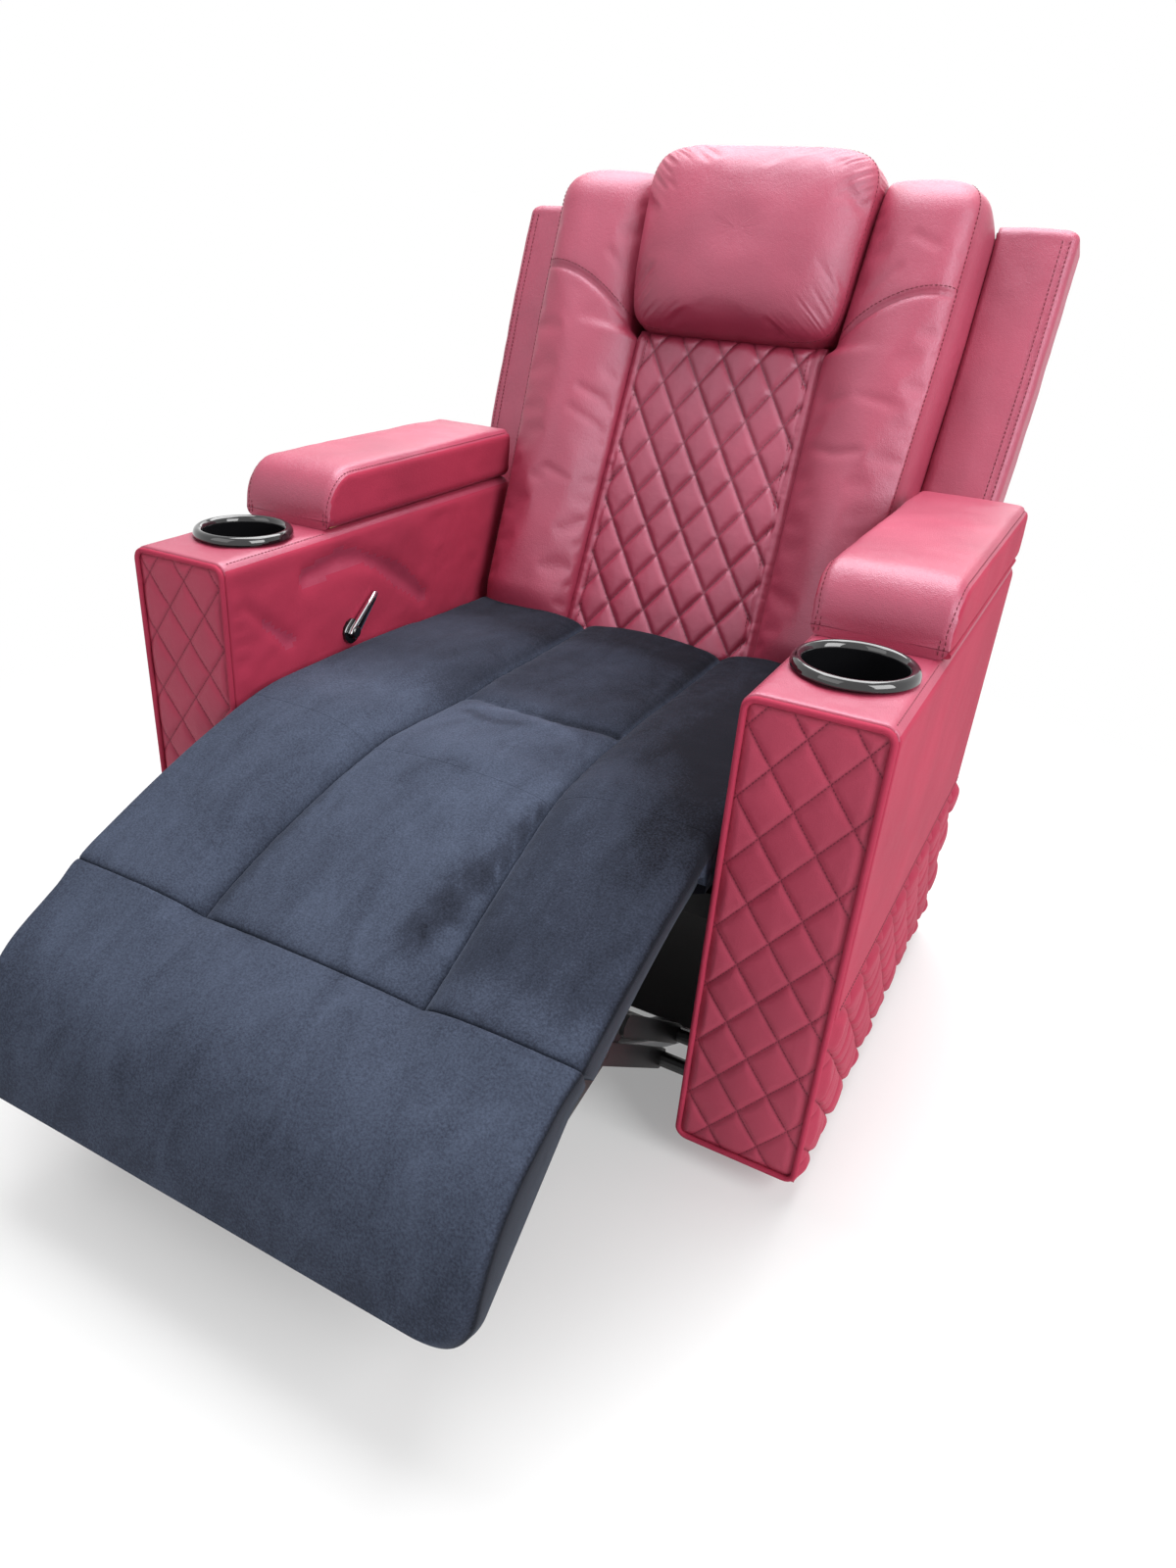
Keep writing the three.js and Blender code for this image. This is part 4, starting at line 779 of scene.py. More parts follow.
def cut(obj, cutters):
    """Cuts closed forms out of a piece for good, and removes them."""
    for cutter in cutters:
        change = obj.modifiers.new("cut", "BOOLEAN")
        change.operation = "DIFFERENCE"
        change.object = cutter
        change.solver = "EXACT"
    bpy.context.view_layer.update()
    evaluated = obj.evaluated_get(bpy.context.evaluated_depsgraph_get())
    mesh = bpy.data.meshes.new_from_object(evaluated)
    obj.modifiers.clear()
    obj.data = mesh
    for cutter in cutters:
        bpy.data.objects.remove(cutter)
    obj.data.shade_smooth()


def soften(obj, degrees):
    """Keeps edges sharper than this many degrees as edges, and shades the rest smooth."""
    obj.data.set_sharp_from_angle(angle=math.radians(degrees))


def diamond_height(u, v):
    """A flat pillow in each diamond, falling fast to the sewn lines."""
    total = 1.0
    for w in (u, v):
        off = np.abs(w - np.round(w))
        total = total * np.sqrt(1 - (1 - np.clip(off / 0.2, 0, 1)) ** 2)
    return total * (0.7 + 0.3 * np.abs(np.sin(math.pi * u) * np.sin(math.pi * v)))


def quilting(u, v, height, seed):
    """Pillows between the sewn lines, each diamond a little fuller or flatter than the next."""
    share = hashed(np.floor(u).astype(np.int64), np.floor(v).astype(np.int64), 3, seed)
    return height * diamond_height(u, v) * mix(0.8, 1.1, share)


def quilt_uv(u, v):
    """The diamond coordinates for both grids of a slab."""
    return np.concatenate([np.stack([u, v], -1).reshape(-1, 2)] * 2)


def arm_front(side, letter):
    """The quilted panel on an arm's front and the piping round it."""
    inset = 5.4
    x0, x1 = ARM_INNER + inset, ARM_OUTER - inset
    z0, z1 = ARM_BOTTOM + inset, DECK - inset
    x, z = np.meshgrid(np.linspace(x0, x1, 72), np.linspace(z0, z1, 280))
    a = (x - QUILT_NODE[0]) / QUILT_WIDE
    b = (z - QUILT_NODE[1]) / QUILT_TALL
    u, v = a + b, a - b
    fade = smooth(inside_of(x, x0, x1, z, z0, z1) / 12.0)
    puff = quilting(u, v, FRONT_PUFF, 2) + wrinkle(x / 16.0, z / 16.0, 21) * 0.3
    y = PANEL_FACE - puff * fade + 0.6 * (1 - fade)
    shape = slab(np.stack([x, y, z], -1), np.stack([x, np.full_like(x, 2 * WELT), z], -1))
    nodes = [f"arm_front_panel_{letter}"]
    uv = quilt_uv(u, v)
    build(f"front_quilt_{letter}", shape, front_leather, "chair", nodes, side, uv=uv)
    places, _ = rounded_rectangle(
        ARM_INNER + WELT, ARM_BOTTOM + WELT, ARM_OUTER - WELT, DECK - WELT, ARM_CORNER - WELT, (9, 30)
    )
    cord = ring_tube(stood_at(ARM_FACE - 4.0, places), CORD_RADIUS)
    build(f"piping_{letter}", cord, dull_leather, "chair", [f"arm_piping_{letter}"], side)


def ring_tube(path, radius, sides=12):
    """A tube round a closed loop that lies square to Y."""
    tangent = np.roll(path, -1, 0) - np.roll(path, 1, 0)
    tangent /= np.linalg.norm(tangent, axis=1)[:, None]
    side = np.column_stack([tangent[:, 2], np.zeros(len(path)), -tangent[:, 0]])
    turn = np.linspace(0, 2 * math.pi, sides, endpoint=False)
    up = np.array([0.0, 1.0, 0.0])
    ring = side[:, None] * np.cos(turn)[None, :, None] + up * np.sin(turn)[None, :, None]
    points = (path[:, None] + ring * radius).reshape(-1, 3)
    return outward(points, quads(len(path), sides, wrap=True, closed=True))


def arm_side(side, letter):
    """The puffy quilt low on an arm's outer side."""
    y, z = np.meshgrid(np.linspace(ARM_FACE, ARM_REAR, 360), np.linspace(ARM_BOTTOM, SIDE_QUILT_TOP, 130))
    a = (y - (ARM_FACE + ARM_REAR) / 2) / SIDE_QUILT_WIDE
    b = (z - ARM_BOTTOM) / SIDE_QUILT_TALL
    u, v = a + b, a - b
    fade = smooth(inside_of(y, ARM_FACE, ARM_REAR, z, ARM_BOTTOM, SIDE_QUILT_TOP) / 14.0)
    puff = quilting(u, v, SIDE_PUFF, 6)
    x = ARM_OUTER - 4.0 + puff * fade + wrinkle(y / 18.0, z / 18.0, 31) * 0.3 * fade
    shape = slab(np.stack([x, y, z], -1), np.stack([np.full_like(x, ARM_OUTER - 6.7), y, z], -1))
    nodes = [f"arm_side_quilt_{letter}"]
    uv = quilt_uv(u, v)
    build(f"side_quilt_{letter}", shape, side_leather, "chair", nodes, side, uv=uv)


def cup(side, letter):
    """A glossy cup with a thick rim."""
    bore, depth = CUP_BORE, CUP_DEPTH
    profile = [(0, -depth), (bore - 1, -depth), (bore + 2.5, -3), (bore + 2.5, 0.3)]
    rim = (CUP_RIM - bore) / 2
    for t in np.radians(np.linspace(0, 180, 13)):
        profile.append((bore + rim + math.cos(t) * rim, 3.6 + math.sin(t) * 8.6))
    profile += [(bore - 0.2, -2), (bore - 3, 6 - depth), (bore - 7, 2.5 - depth), (0, 2.5 - depth)]
    points, faces = lathe(profile, 96)
    shape = points + np.array([side * CUP_X, CUP_Y, DECK]), faces
    obj = build(f"cup_holder_shell_{letter}", shape, gloss_black, "chair", [f"cup_holder_{letter}"])
    soften(obj, 35.0)


def lathe(profile, steps):
    """Turns (radius, height) pairs about a standing axis: the first and last lie on it."""
    turn = np.linspace(0, 2 * math.pi, steps, endpoint=False)
    points = [[0.0, 0.0, profile[0][1]]]
    for r, z in profile[1:-1]:
        points += [[r * math.cos(t), r * math.sin(t), z] for t in turn]
    points.append([0.0, 0.0, profile[-1][1]])
    faces = []
    rows = len(profile) - 2
    for c in range(steps):
        d = (c + 1) % steps
        faces.append((0, 1 + d, 1 + c))
        for r in range(rows - 1):
            a = 1 + r * steps
            faces.append((a + c, a + d, a + d + steps, a + c + steps))
        last = 1 + (rows - 1) * steps
        faces.append((last + c, last + d, len(points) - 1))
    return outward(np.array(points), faces)


def lid(side, letter):
    """The padded armrest: a soft box with a rolled front, sewn along its top and front corners."""
    bottom = DECK + 0.3
    roll_turns = np.radians(np.linspace(3, 90, 20))
    ys = list(LID_FRONT + LID_ROLL * (1 - np.cos(roll_turns)))
    ys += list(np.linspace(LID_FRONT + LID_ROLL + 6, LID_REAR - LID_REAR_ROUND, 70))
    ys += [LID_REAR - 4.5, LID_REAR - 1.8, LID_REAR - 0.3]
    outer_corner, inner_corner = 3, 31  # the middles of the two top corners in a section
    sections = []
    seams = {outer_corner: [], inner_corner: []}
    for y in ys:
        ahead = max(0.0, LID_FRONT + LID_ROLL - y) / LID_ROLL
        height = LID_HEIGHT - LID_ROLL * (1 - max(0.0, 1 - ahead**2.3) ** 0.5)
        behind = max(0.0, y - (LID_REAR - LID_REAR_ROUND)) / LID_REAR_ROUND
        inset = 6.0 * round_off(behind) + 3.0 * ahead**4
        crown = 5.0 * smooth((y - LID_FRONT + 8) / 90.0) * smooth((LID_REAR - y) / 90.0)
        radius = min(LID_EDGE, height * 0.45)
        places, normals = rounded_rectangle(
            ARM_INNER + inset, bottom, ARM_OUTER - inset, bottom + height - inset, radius, (22, 10)
        )
        x, z = places[:, 0], places[:, 1]
        across = (x - CUP_X) / (ARM_OUTER - CUP_X)
        top = smooth((z - bottom - height * 0.5) / (height * 0.5))
        free = smooth((z - bottom - 6) / 20.0)
        lift = top * crown * (1 - across**2)
        lift = lift + wrinkle(y / 55.0, (x + z) / 40.0, 41 + (side > 0)) * 1.1 * free
        upper = normals[:, 1] > 0
        gathers = np.sin(y / 2.9 + 3.0 * math.sin(y / 31.0)) * 0.35 * smooth((LID_FRONT + 70 - y) / 50.0)
        lift = lift - at_corner(normals, 0.1) * upper * 1.5 + gathers * at_corner(normals, 0.45) * upper
        grown = places + normals * lift[:, None]
        grown[:, 1] = np.maximum(grown[:, 1], bottom)
        grown[:, 0] = np.clip(grown[:, 0], ARM_INNER, ARM_OUTER + 1.0)
        if behind == 0.0:
            for corner, seam in seams.items():
                sewn = grown[corner] + normals[corner] * 0.4
                seam.append([sewn[0], y, sewn[1]])
        sections.append(stood_at(y, grown))
    shape = loft(np.array(sections))
    body = "lid_right" if side > 0 else "lid_left"
    obj = build(f"armrest_{letter}", shape, leather, body, [f"lid_pad_{letter}"], side)
    room = (ARM_OUTER - ARM_INNER - 2 * LID_WALL, LID_REAR - LID_FRONT - 2 * LID_WALL, 2 * LID_ROOM)
    cut(obj, [box_cutter(room, (side * (ARM_INNER + ARM_OUTER) / 2, (LID_FRONT + LID_REAR) / 2, DECK))])
    dull_sides(obj)
    soften(obj, 45.0)
    lines = []
    for corner, away in ((inner_corner, 1.0), (outer_corner, -1.0)):
        line = np.array(seams[corner])
        ahead = line[0] + np.array([0, -0.3, 0])
        foot = np.array([line[0][0], line[0][1] - 0.3, bottom + 4])
        line = np.vstack([foot, mix(foot, ahead, 0.5), line])
        lines.append(line)
        lines.append(line + np.array([away * 5.0, 0.0, 0.9]))
    sew(f"armrest_stitches_{letter}", lines, body, side)


def arm_seams(side, letter):
    """Sewn lines on the arm: along both edges of the deck and above the side quilt."""
    y = np.linspace(ARM_FACE + 8, LID_FRONT - 4, 30)
    off = ARM_CORNER * (1 - math.sqrt(0.5)) + 3.2
    lines = [level_line(x, y, DECK - 2.4) for x in (ARM_INNER + off, ARM_OUTER - off)]
    y = np.linspace(ARM_FACE + 8, ARM_REAR - 10, 120)
    lines.append(level_line(ARM_OUTER + 0.3, y, SIDE_QUILT_TOP + 7))
    sew(f"arm_stitches_{letter}", lines, "chair", side)


def level_line(x, y, z):
    return np.column_stack([np.full_like(y, x), y, np.full_like(y, z)])


# ---------------------------------------------------------------- seat, chaise and footrest
def sewn_half(y):
    """How far from the middle the long seams run at y."""
    return mix(SEWN_HALF_REAR, SEWN_HALF_FRONT, smooth((CROSS_SEAM - y) / (CROSS_SEAM + CHAISE_REACH)))


def sewn_height(y):
    """How high the long seams lie at y."""
    y = np.asarray(y, float)
    rear = mix(SEWN_FRONT, SEWN_REAR, (y - SLOPE_START) / (SEAT_REAR - SLOPE_START))
    share = np.clip((SLOPE_START - y) / (SLOPE_START + CHAISE_REACH), 0, None)
    return np.where(y >= SLOPE_START, rear, SEWN_FRONT - (SEWN_FRONT - SEWN_DROP) * share**1.45)


def booster_height(y):
    """How high the side channels stand over their seams at y."""
    back = smooth((y - CROSS_SEAM) / (SEAT_REAR - CROSS_SEAM))
    ahead = smooth((CROSS_SEAM - y) / (CROSS_SEAM + CHAISE_REACH))
    return BOOSTER_RISE * (1 - 0.55 * back) + (BOOSTER_RISE_FRONT - BOOSTER_RISE) * ahead


def booster_bump(share):
    """A side channel's rounded top from its seam (0) to its outer edge (1), where it stays fuller."""
    bump = (1 - np.abs(2 * share - 1) ** 2.4) ** 0.8
    return np.where(share > 0.5, np.maximum(bump, 1 - 0.14 * (2 * share - 1) ** 2), bump)


def middle_rise(share):
    """The middle channel's rise from its middle (0) to its seams (1)."""
    return CHANNEL_RISE * (1 - np.clip(share, 0, 1) ** 2) ** 0.7


def front_seam(off):
    """The seam that joins the chaise to the footrest."""
    return crease(off, 2.8, 2.2) + groove(off, 1.2, 10.0)


def cross_line(x, y):
    """Where the seam across the middle channel runs: it bows forwards."""
    return CROSS_SEAM - CROSS_BOW * (1 - np.clip(np.abs(x) / sewn_half(y), 0, 1) ** 2)


def seat_top(x, y):
    """The velvet's height over the seat and chaise, with its channels, seams and creases."""
    half = sewn_half(y)
    away = np.abs(x)
    share = np.clip((away - half) / (SEAT_HALF - half), 0, 1)
    rise = np.where(away <= half, middle_rise(away / half), booster_height(y) * booster_bump(share))
    rounding = mix(EDGE_ROUND, EDGE_ROUND_FRONT, smooth((60 - y) / (60 + CHAISE_REACH)))
    rise = rise - rounding * round_off((away - (SEAT_HALF - rounding)) / rounding)
    sewn = crease(away - half, 4.0, 4.0) + groove(away - half, 2.5, 12.0)
    inside = smooth((half - away) / 5.0)
    off = y - cross_line(x, y)
    cross = (crease(off, 4.0, 3.6) + groove(off, 4.0, 16.0)) * inside
    pucker = wrinkle(y / 8.5, x / 60.0, 57) * fading(away - half, 20.0) * 0.9
    by_cross_seam = fading(off, 18.0) * inside + fading(y + CHAISE_REACH, 20.0)
    pucker = pucker + wrinkle(x / 8.5, y / 60.0, 58) * by_cross_seam * 0.9
    soft = wrinkle(x / 95.0, y / 95.0, 51) * 1.8 + wrinkle(x / 30.0, y / 40.0, 55) * 0.35
    return sewn_height(y) + rise + sewn + cross + front_seam(y + CHAISE_REACH) + pucker + soft


STROKE = ((122, 0), (114, -70), (103, -110), (92, -150), (86, -200))
DARK_ARCS = (
    (0.2, 9.0, ((-66, 150), (-40, 138), (-16, 136), (4, 146))),
    (0.12, 12.0, ((-46, -20), (-30, 14), (-10, 26), (6, 20))),
)
PALE_ARC = ((-70, 168), (-30, 178), (20, 176), (60, 160))


def nap_and_painted_shade(x, y):
    """How the pile lies on the seat and chaise, brushed dark by hands, plus painted shade towards the
    backrest, beside the arms and in the seams.
    """
    half = sewn_half(y)
    off = y - cross_line(x, y)
    inside = smooth((half - np.abs(x)) / 6.0)
    left = smooth((-half - x) / 8.0)
    right = smooth((x - half) / 8.0)
    lie_and_shade = 0.70 + 0.05 * wrinkle(x / 150.0, y / 150.0, 61)
    # Painted shade: the left channel darkens towards the backrest and in a patch by the left arm.
    left_rear_shade = 0.3 * smooth((y - 80) / 170.0) + 0.28 * smooth((y - 370) / 90.0)
    lie_and_shade = lie_and_shade - left * (left_rear_shade + 0.12 * blob(x + 290, y - 200, 30.0, 90.0))
    # Painted shade: the middle channel darkens towards the backrest, more on its right half.
    rear = 0.42 * smooth((y - 140) / 130.0) + 0.2 * smooth((y - 420) / 60.0)
    lie_and_shade = lie_and_shade - inside * (rear + 0.1 * smooth(x / 90.0) * smooth((y - 60) / 60.0))
    # Painted shade: the right channel darkens beside the right arm and towards the backrest.
    right_edge_shade = 0.4 * smooth((x - 165) / 100.0) * smooth((y + 110) / 130.0)
    lie_and_shade = lie_and_shade - right * (0.08 + 0.2 * smooth((y + 225) / 40.0) + right_edge_shade)
    lie_and_shade = lie_and_shade - right * 0.35 * smooth((y - 40) / 160.0)
    fuzz = 5 * wrinkle(y / 30.0, x / 60.0, 62) + 4 * wrinkle(y / 8.0, x / 10.0, 70)
    strip = near_path(x, y, STROKE) + fuzz
    hatch = 0.75 + 0.5 * wrinkle((x + 0.6 * y) / 6.0, (y - 0.6 * x) / 40.0, 71)
    lie_and_shade = lie_and_shade - 0.44 * smooth((30 - strip) / 26.0) * inside * hatch * smooth((y + 215) / 40.0)
    strip = smooth((x + half) / 5.0) * smooth((24 - (x + half) + fuzz) / 16.0)
    lie_and_shade = lie_and_shade - 0.22 * strip * smooth((y + 232) / 20.0) * smooth((-20 - y) / 80.0)
    for depth, width, arc in DARK_ARCS:
        lie_and_shade = lie_and_shade + groove(near_path(x, y, arc), depth, width)
    lie_and_shade = lie_and_shade - groove(near_path(x, y, PALE_ARC), 0.13, 12.0) * inside
    # Painted shade in the cross seam, the long seams and the seam to the footrest.
    lie_and_shade = lie_and_shade + groove(off, 0.3, 9.0) * smooth((x + 30) / 60.0) * inside
    lie_and_shade = lie_and_shade + crease(np.abs(x) - half, 0.14, 4.0) + crease(y + CHAISE_REACH, 0.2, 4.0)
    patches = wrinkle(x / 20.0, y / 44.0, 64) + 0.6 * wrinkle((x + y) / 9.0, (x - y) / 26.0, 65)
    return lie_and_shade + patches * (0.03 + 0.05 * right + 0.03 * inside * smooth((y - 180) / 60.0))


def seat_columns(y):
    """Places across the seat at y, with one exactly on each long seam."""
    half = float(sewn_half(y))
    outer = mix(-SEAT_HALF, -half, eased(44))
    middle = mix(-half, half, eased(60))[1:-1]
    return np.concatenate([outer, middle, -outer[::-1]])


def pad_sections(ys, bottoms, tops, shifts, undercut, lower_round=10.0):
    """Closed sections across the seat: a shaped top, round sides and a flat underside."""
    under = np.linspace(1, -1, 24)
    sections = []
    nap_and_shade_rows = []
    for y, bottom, shift in zip(ys, bottoms, shifts):
        across = seat_columns(y)
        top = tops(across, y)
        x_under = under * (SEAT_HALF - undercut)
        z_under = bottom + lower_round * np.clip(np.abs(under) - 0.96, 0, None) / 0.04
        xs = np.concatenate([across, x_under])
        zs = np.concatenate([np.maximum(top, bottom + lower_round + 1), z_under])
        ahead = np.concatenate([np.zeros(len(across)), np.full(len(under), shift)])
        sections.append(np.column_stack([xs, y + ahead, zs]))
        # Painted shade: the right side wall turns dark and the underside is dark.
        lie_and_shade = nap_and_painted_shade(across, y) - 0.8 * fading(SEAT_HALF - across, 2.0)
        nap_and_shade_rows.append(np.concatenate([lie_and_shade, np.full(len(under), -0.3)]))
    return np.array(sections), np.array(nap_and_shade_rows).ravel()


def seat():
    """The seat cushion, up to the line where the chaise bends down."""
    main = np.linspace(SEAT_FRONT, SEAT_REAR - 10, 150)
    ys = np.append(main, [SEAT_REAR - 5, SEAT_REAR - 1, SEAT_REAR])
    drop = np.append(np.zeros(len(main)), [2.0, 6.0, 12.0])
    lean = math.tan(BACK_LEAN) * (SEWN_REAR - SEAT_BOTTOM)
    shifts = -lean * (ys - SEAT_FRONT) / (SEAT_REAR - SEAT_FRONT)

    def top(x, y):
        return seat_top(x, y) - np.interp(y, ys, drop)

    sections, nap_and_shade = pad_sections(ys, np.full(len(ys), SEAT_BOTTOM), top, shifts, 3.0)
    shape = loft(sections, flat_caps=True)
    front = np.arange(len(nap_and_shade)) < sections.shape[1]
    build("seat_velvet", shape, velvet, "chair", ["seat_cushion"], sharp=front, nap_and_shade=nap_and_shade)
    seat_roll()


def seat_roll():
    """A roll of the same velvet where the seat's front bends down as the footrest folds away."""
    xs = seat_columns(SEAT_FRONT)[2:-2]
    radius = np.maximum(seat_top(xs, SEAT_FRONT) - FOLD_HEIGHT - 2.5, 6.0)
    sections = []
    for turn in np.radians(np.linspace(88, 300, 30)):
        reach = radius if turn < math.pi else np.minimum(radius, 18.0)
        y = SEAT_FRONT + 1.0 + (reach - 1.0) * np.cos(turn)
        z = FOLD_HEIGHT + reach * np.sin(turn)
        sections.append(np.column_stack([xs, y, z]))
    face = np.array(sections)
    back = face.copy()
    back[..., 1] = SEAT_FRONT + 2.0
    back[..., 2] = FOLD_HEIGHT
    nap_and_shade = np.full(face.size // 3 * 2, 0.5)
    build("seat_front_roll", slab(face, back), velvet, "chair", nap_and_shade=nap_and_shade)


def chaise():
    """The pad over the front edge. It shortens as it folds away with the footrest."""
    lap = 2.5
    start = -CHAISE_REACH
    rounded = start + np.array([0.0, 2.0, 4.5, 8.0])
    ys = np.concatenate([rounded, np.linspace(start + 12, SEAT_FRONT, 84), [SEAT_FRONT + lap]])
    share = (ys + CHAISE_REACH) / (CHAISE_REACH + SEAT_FRONT)
    mitre = CHAISE_THICK * -FOOT_OUT[0] / FOOT_OUT[1]
    shifts = mitre * np.clip(1 - share, 0, 1)

    def top(x, y):
        return seat_top(x, y) - 0.35 * smooth((y - SEAT_FRONT + 1.0) / 1.5)

    sections, nap_and_shade = pad_sections(ys, sewn_height(ys) - CHAISE_THICK, top, shifts, 14.0)
    rise = np.maximum(0, sections[..., 2] - sewn_height(ys)[:, None])
    sections[..., 1] -= SEAM_LEAN * rise * fading(ys + CHAISE_REACH, 25.0)[:, None]
    shape = loft(sections, flat_caps=True)
    rear = np.arange(len(nap_and_shade)) >= len(nap_and_shade) - sections.shape[1]
    obj = build("chaise_velvet", shape, velvet, "chaise", ["chaise_pad"], sharp=rear, nap_and_shade=nap_and_shade)
    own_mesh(obj)


def foot_rise(x):
    """How far the velvet stands over the sewn line at the seam that joins footrest and chaise."""
    share = np.clip((np.abs(x) - SEWN_HALF_FRONT) / (SEAT_HALF - SEWN_HALF_FRONT), 0, 1)
    middle = middle_rise(np.abs(x) / SEWN_HALF_FRONT)
    return np.where(share > 0, BOOSTER_RISE_FRONT * booster_bump(share), middle) * FOOT_LEAN


def footrest():
    """The bowed footrest pad, round at its lower corners and sewn to the chaise at its top."""
    half = FOOT_CHORD / 2
    corner = 38.0
    under = np.linspace(1, -1, 24)
    sections = []
    nap_and_shade_rows = []
    for w in mix(-half, half - 0.4, eased(96)):
        t = w / half
        to_seam = half - w
        low = (corner - (w + half)) / corner
        reach = float(SEAT_HALF - 3 - corner * round_off(low) + 3.0 * smooth((t - 0.7) / 0.3))
        across = mix(-reach, reach, eased(146))
        away = np.abs(across)
        rounding = mix(14.0, EDGE_ROUND_FRONT, float(smooth((t + 0.6) / 0.8)))
        o = FOOT_BOW * (1 - abs(t) ** 2.1) + foot_rise(across) * max(0.0, (t - 0.3) / 0.7) ** 2.2
        o = o - rounding * round_off((away - (reach - rounding)) / rounding) + front_seam(to_seam)
        o = o + wrinkle(across / 8.5, w / 40.0, 58) * fading(to_seam, 18.0) * 0.7
        o = o + groove(away - SEWN_HALF_FRONT, 1.6, 9.0) * fading(to_seam, 26.0)
        o = o + wrinkle(across / 130.0, w / 90.0, 61) * 2.0 + wrinkle(across / 34.0, w / 30.0, 66) * 0.25
        o = np.maximum(o, -FOOT_THICK + 6)
        tuck = 4.0 * max(0.0, abs(t) - 0.9) / 0.1
        top = from_foot(across, o, w + 0.14 * np.maximum(0, o) * fading(to_seam, 25.0))
        bottom = from_foot(under * (reach - 4), -FOOT_THICK, w - math.copysign(tuck, t))
        sections.append(np.vstack([top, bottom]))
        # Painted shade: darker towards the lower part, along the seam to the chaise, at the lower end and
        # side edges, on the right side wall and the underside.
        lie_and_shade = 0.71 + 0.05 * wrinkle(across / 140.0, w / 110.0, 67) - 0.09 * smooth((0.3 - t) / 0.9)
        lie_and_shade = lie_and_shade - 0.2 * fading(to_seam, 8.0) * (0.7 + 0.5 * wrinkle(across / 22.0, 0.5, 68))
        lie_and_shade = lie_and_shade - 0.07 * smooth((-0.62 - t) / 0.3) - 0.06 * fading(reach - away, 8.0)
        lie_and_shade = lie_and_shade + 0.035 * wrinkle((across - w) / 22.0, (across + w) / 60.0, 69)
        lie_and_shade = lie_and_shade - 0.8 * fading(reach - across, 1.6)
        nap_and_shade_rows.append(np.concatenate([lie_and_shade, np.full(len(under), -0.3)]))
    shape = loft(np.array(sections), flat_caps=True)
    nap_and_shade = np.array(nap_and_shade_rows).ravel()
    build("footrest_velvet", shape, velvet, "footrest_panel", ["footrest_pad"], nap_and_shade=nap_and_shade)


# ---------------------------------------------------------------- backrest
def lumbar_half(s):
    return mix(LUMBAR_HALF_FOOT, LUMBAR_HALF_TOP, s / LUMBAR_TOP)


def head_half(s):
    return mix(HEAD_HALF_FOOT, HEAD_HALF_TOP, (s - HEAD_FOOT) / (HEAD_TOP - HEAD_FOOT))


def bolster_half(s):
    return mix(BOLSTER_HALF, BOLSTER_BULGE, smooth((s - 165) / 330.0))


def wing_half(s):
    return mix(WING_REACH - 9, WING_REACH, smooth((s - WING_FOOT) / 400.0))


def lumbar():
    """The quilted middle of the backrest, with a gathered strip down each side."""
    a, s = np.meshgrid(np.linspace(-1, 1, 170), np.linspace(-BACK_TUCK, LUMBAR_TOP - 1, 260))
    half = lumbar_half(s)
    x = a * (half + 2)
    u = a * 2.6 + s / 80.0
    v = a * 2.6 - s / 80.0
    edge = np.minimum(half + 2 - np.abs(x), np.minimum(s + BACK_TUCK, LUMBAR_TOP - s))
    fade = smooth(edge / 9.0)
    n = quilting(u, v, LUMBAR_PUFF, 9) * fade
    seam = np.abs(x) - (half - 13)
    strip = smooth(seam / 3.0)
    gather = 1.4 * wrinkle(s / 9.0, a * 3.0, 73) * fading(seam, 14.0)
    n = n * (1 - strip) + strip * (5.0 * fade + gather) + crease(seam, 3.0, 2.2)
    n = n + 5.0 * (1 - a**2) + wrinkle(x / 18.0, s / 18.0, 71) * 0.35 * fade
    n = n - 10.0 * smooth((s - LUMBAR_TOP + 26) / 26.0) ** 2
    shape = slab(from_back(x, n, s), from_back(x, -CUSHION_DEPTH, s))
    uv = quilt_uv(np.where(strip > 0.5, 0.5, u), np.where(strip > 0.5, 0.5, v))
    build("lumbar_quilt", shape, back_leather, "back", ["lumbar_pad"], uv=uv)
    s = np.linspace(4, LUMBAR_TOP - 12, 90)
    lines = [from_back(side * (lumbar_half(s) - 17.5), 6.3, s) for side in (1, -1)]
    sew("lumbar_stitches", lines, "back")


BOLSTER_ROWS = (104, 46)
BOLSTER_COLUMNS = (66, 16, 8, 9)
FORWARD = np.array([0.0, -math.cos(BACK_LEAN), math.sin(BACK_LEAN)])


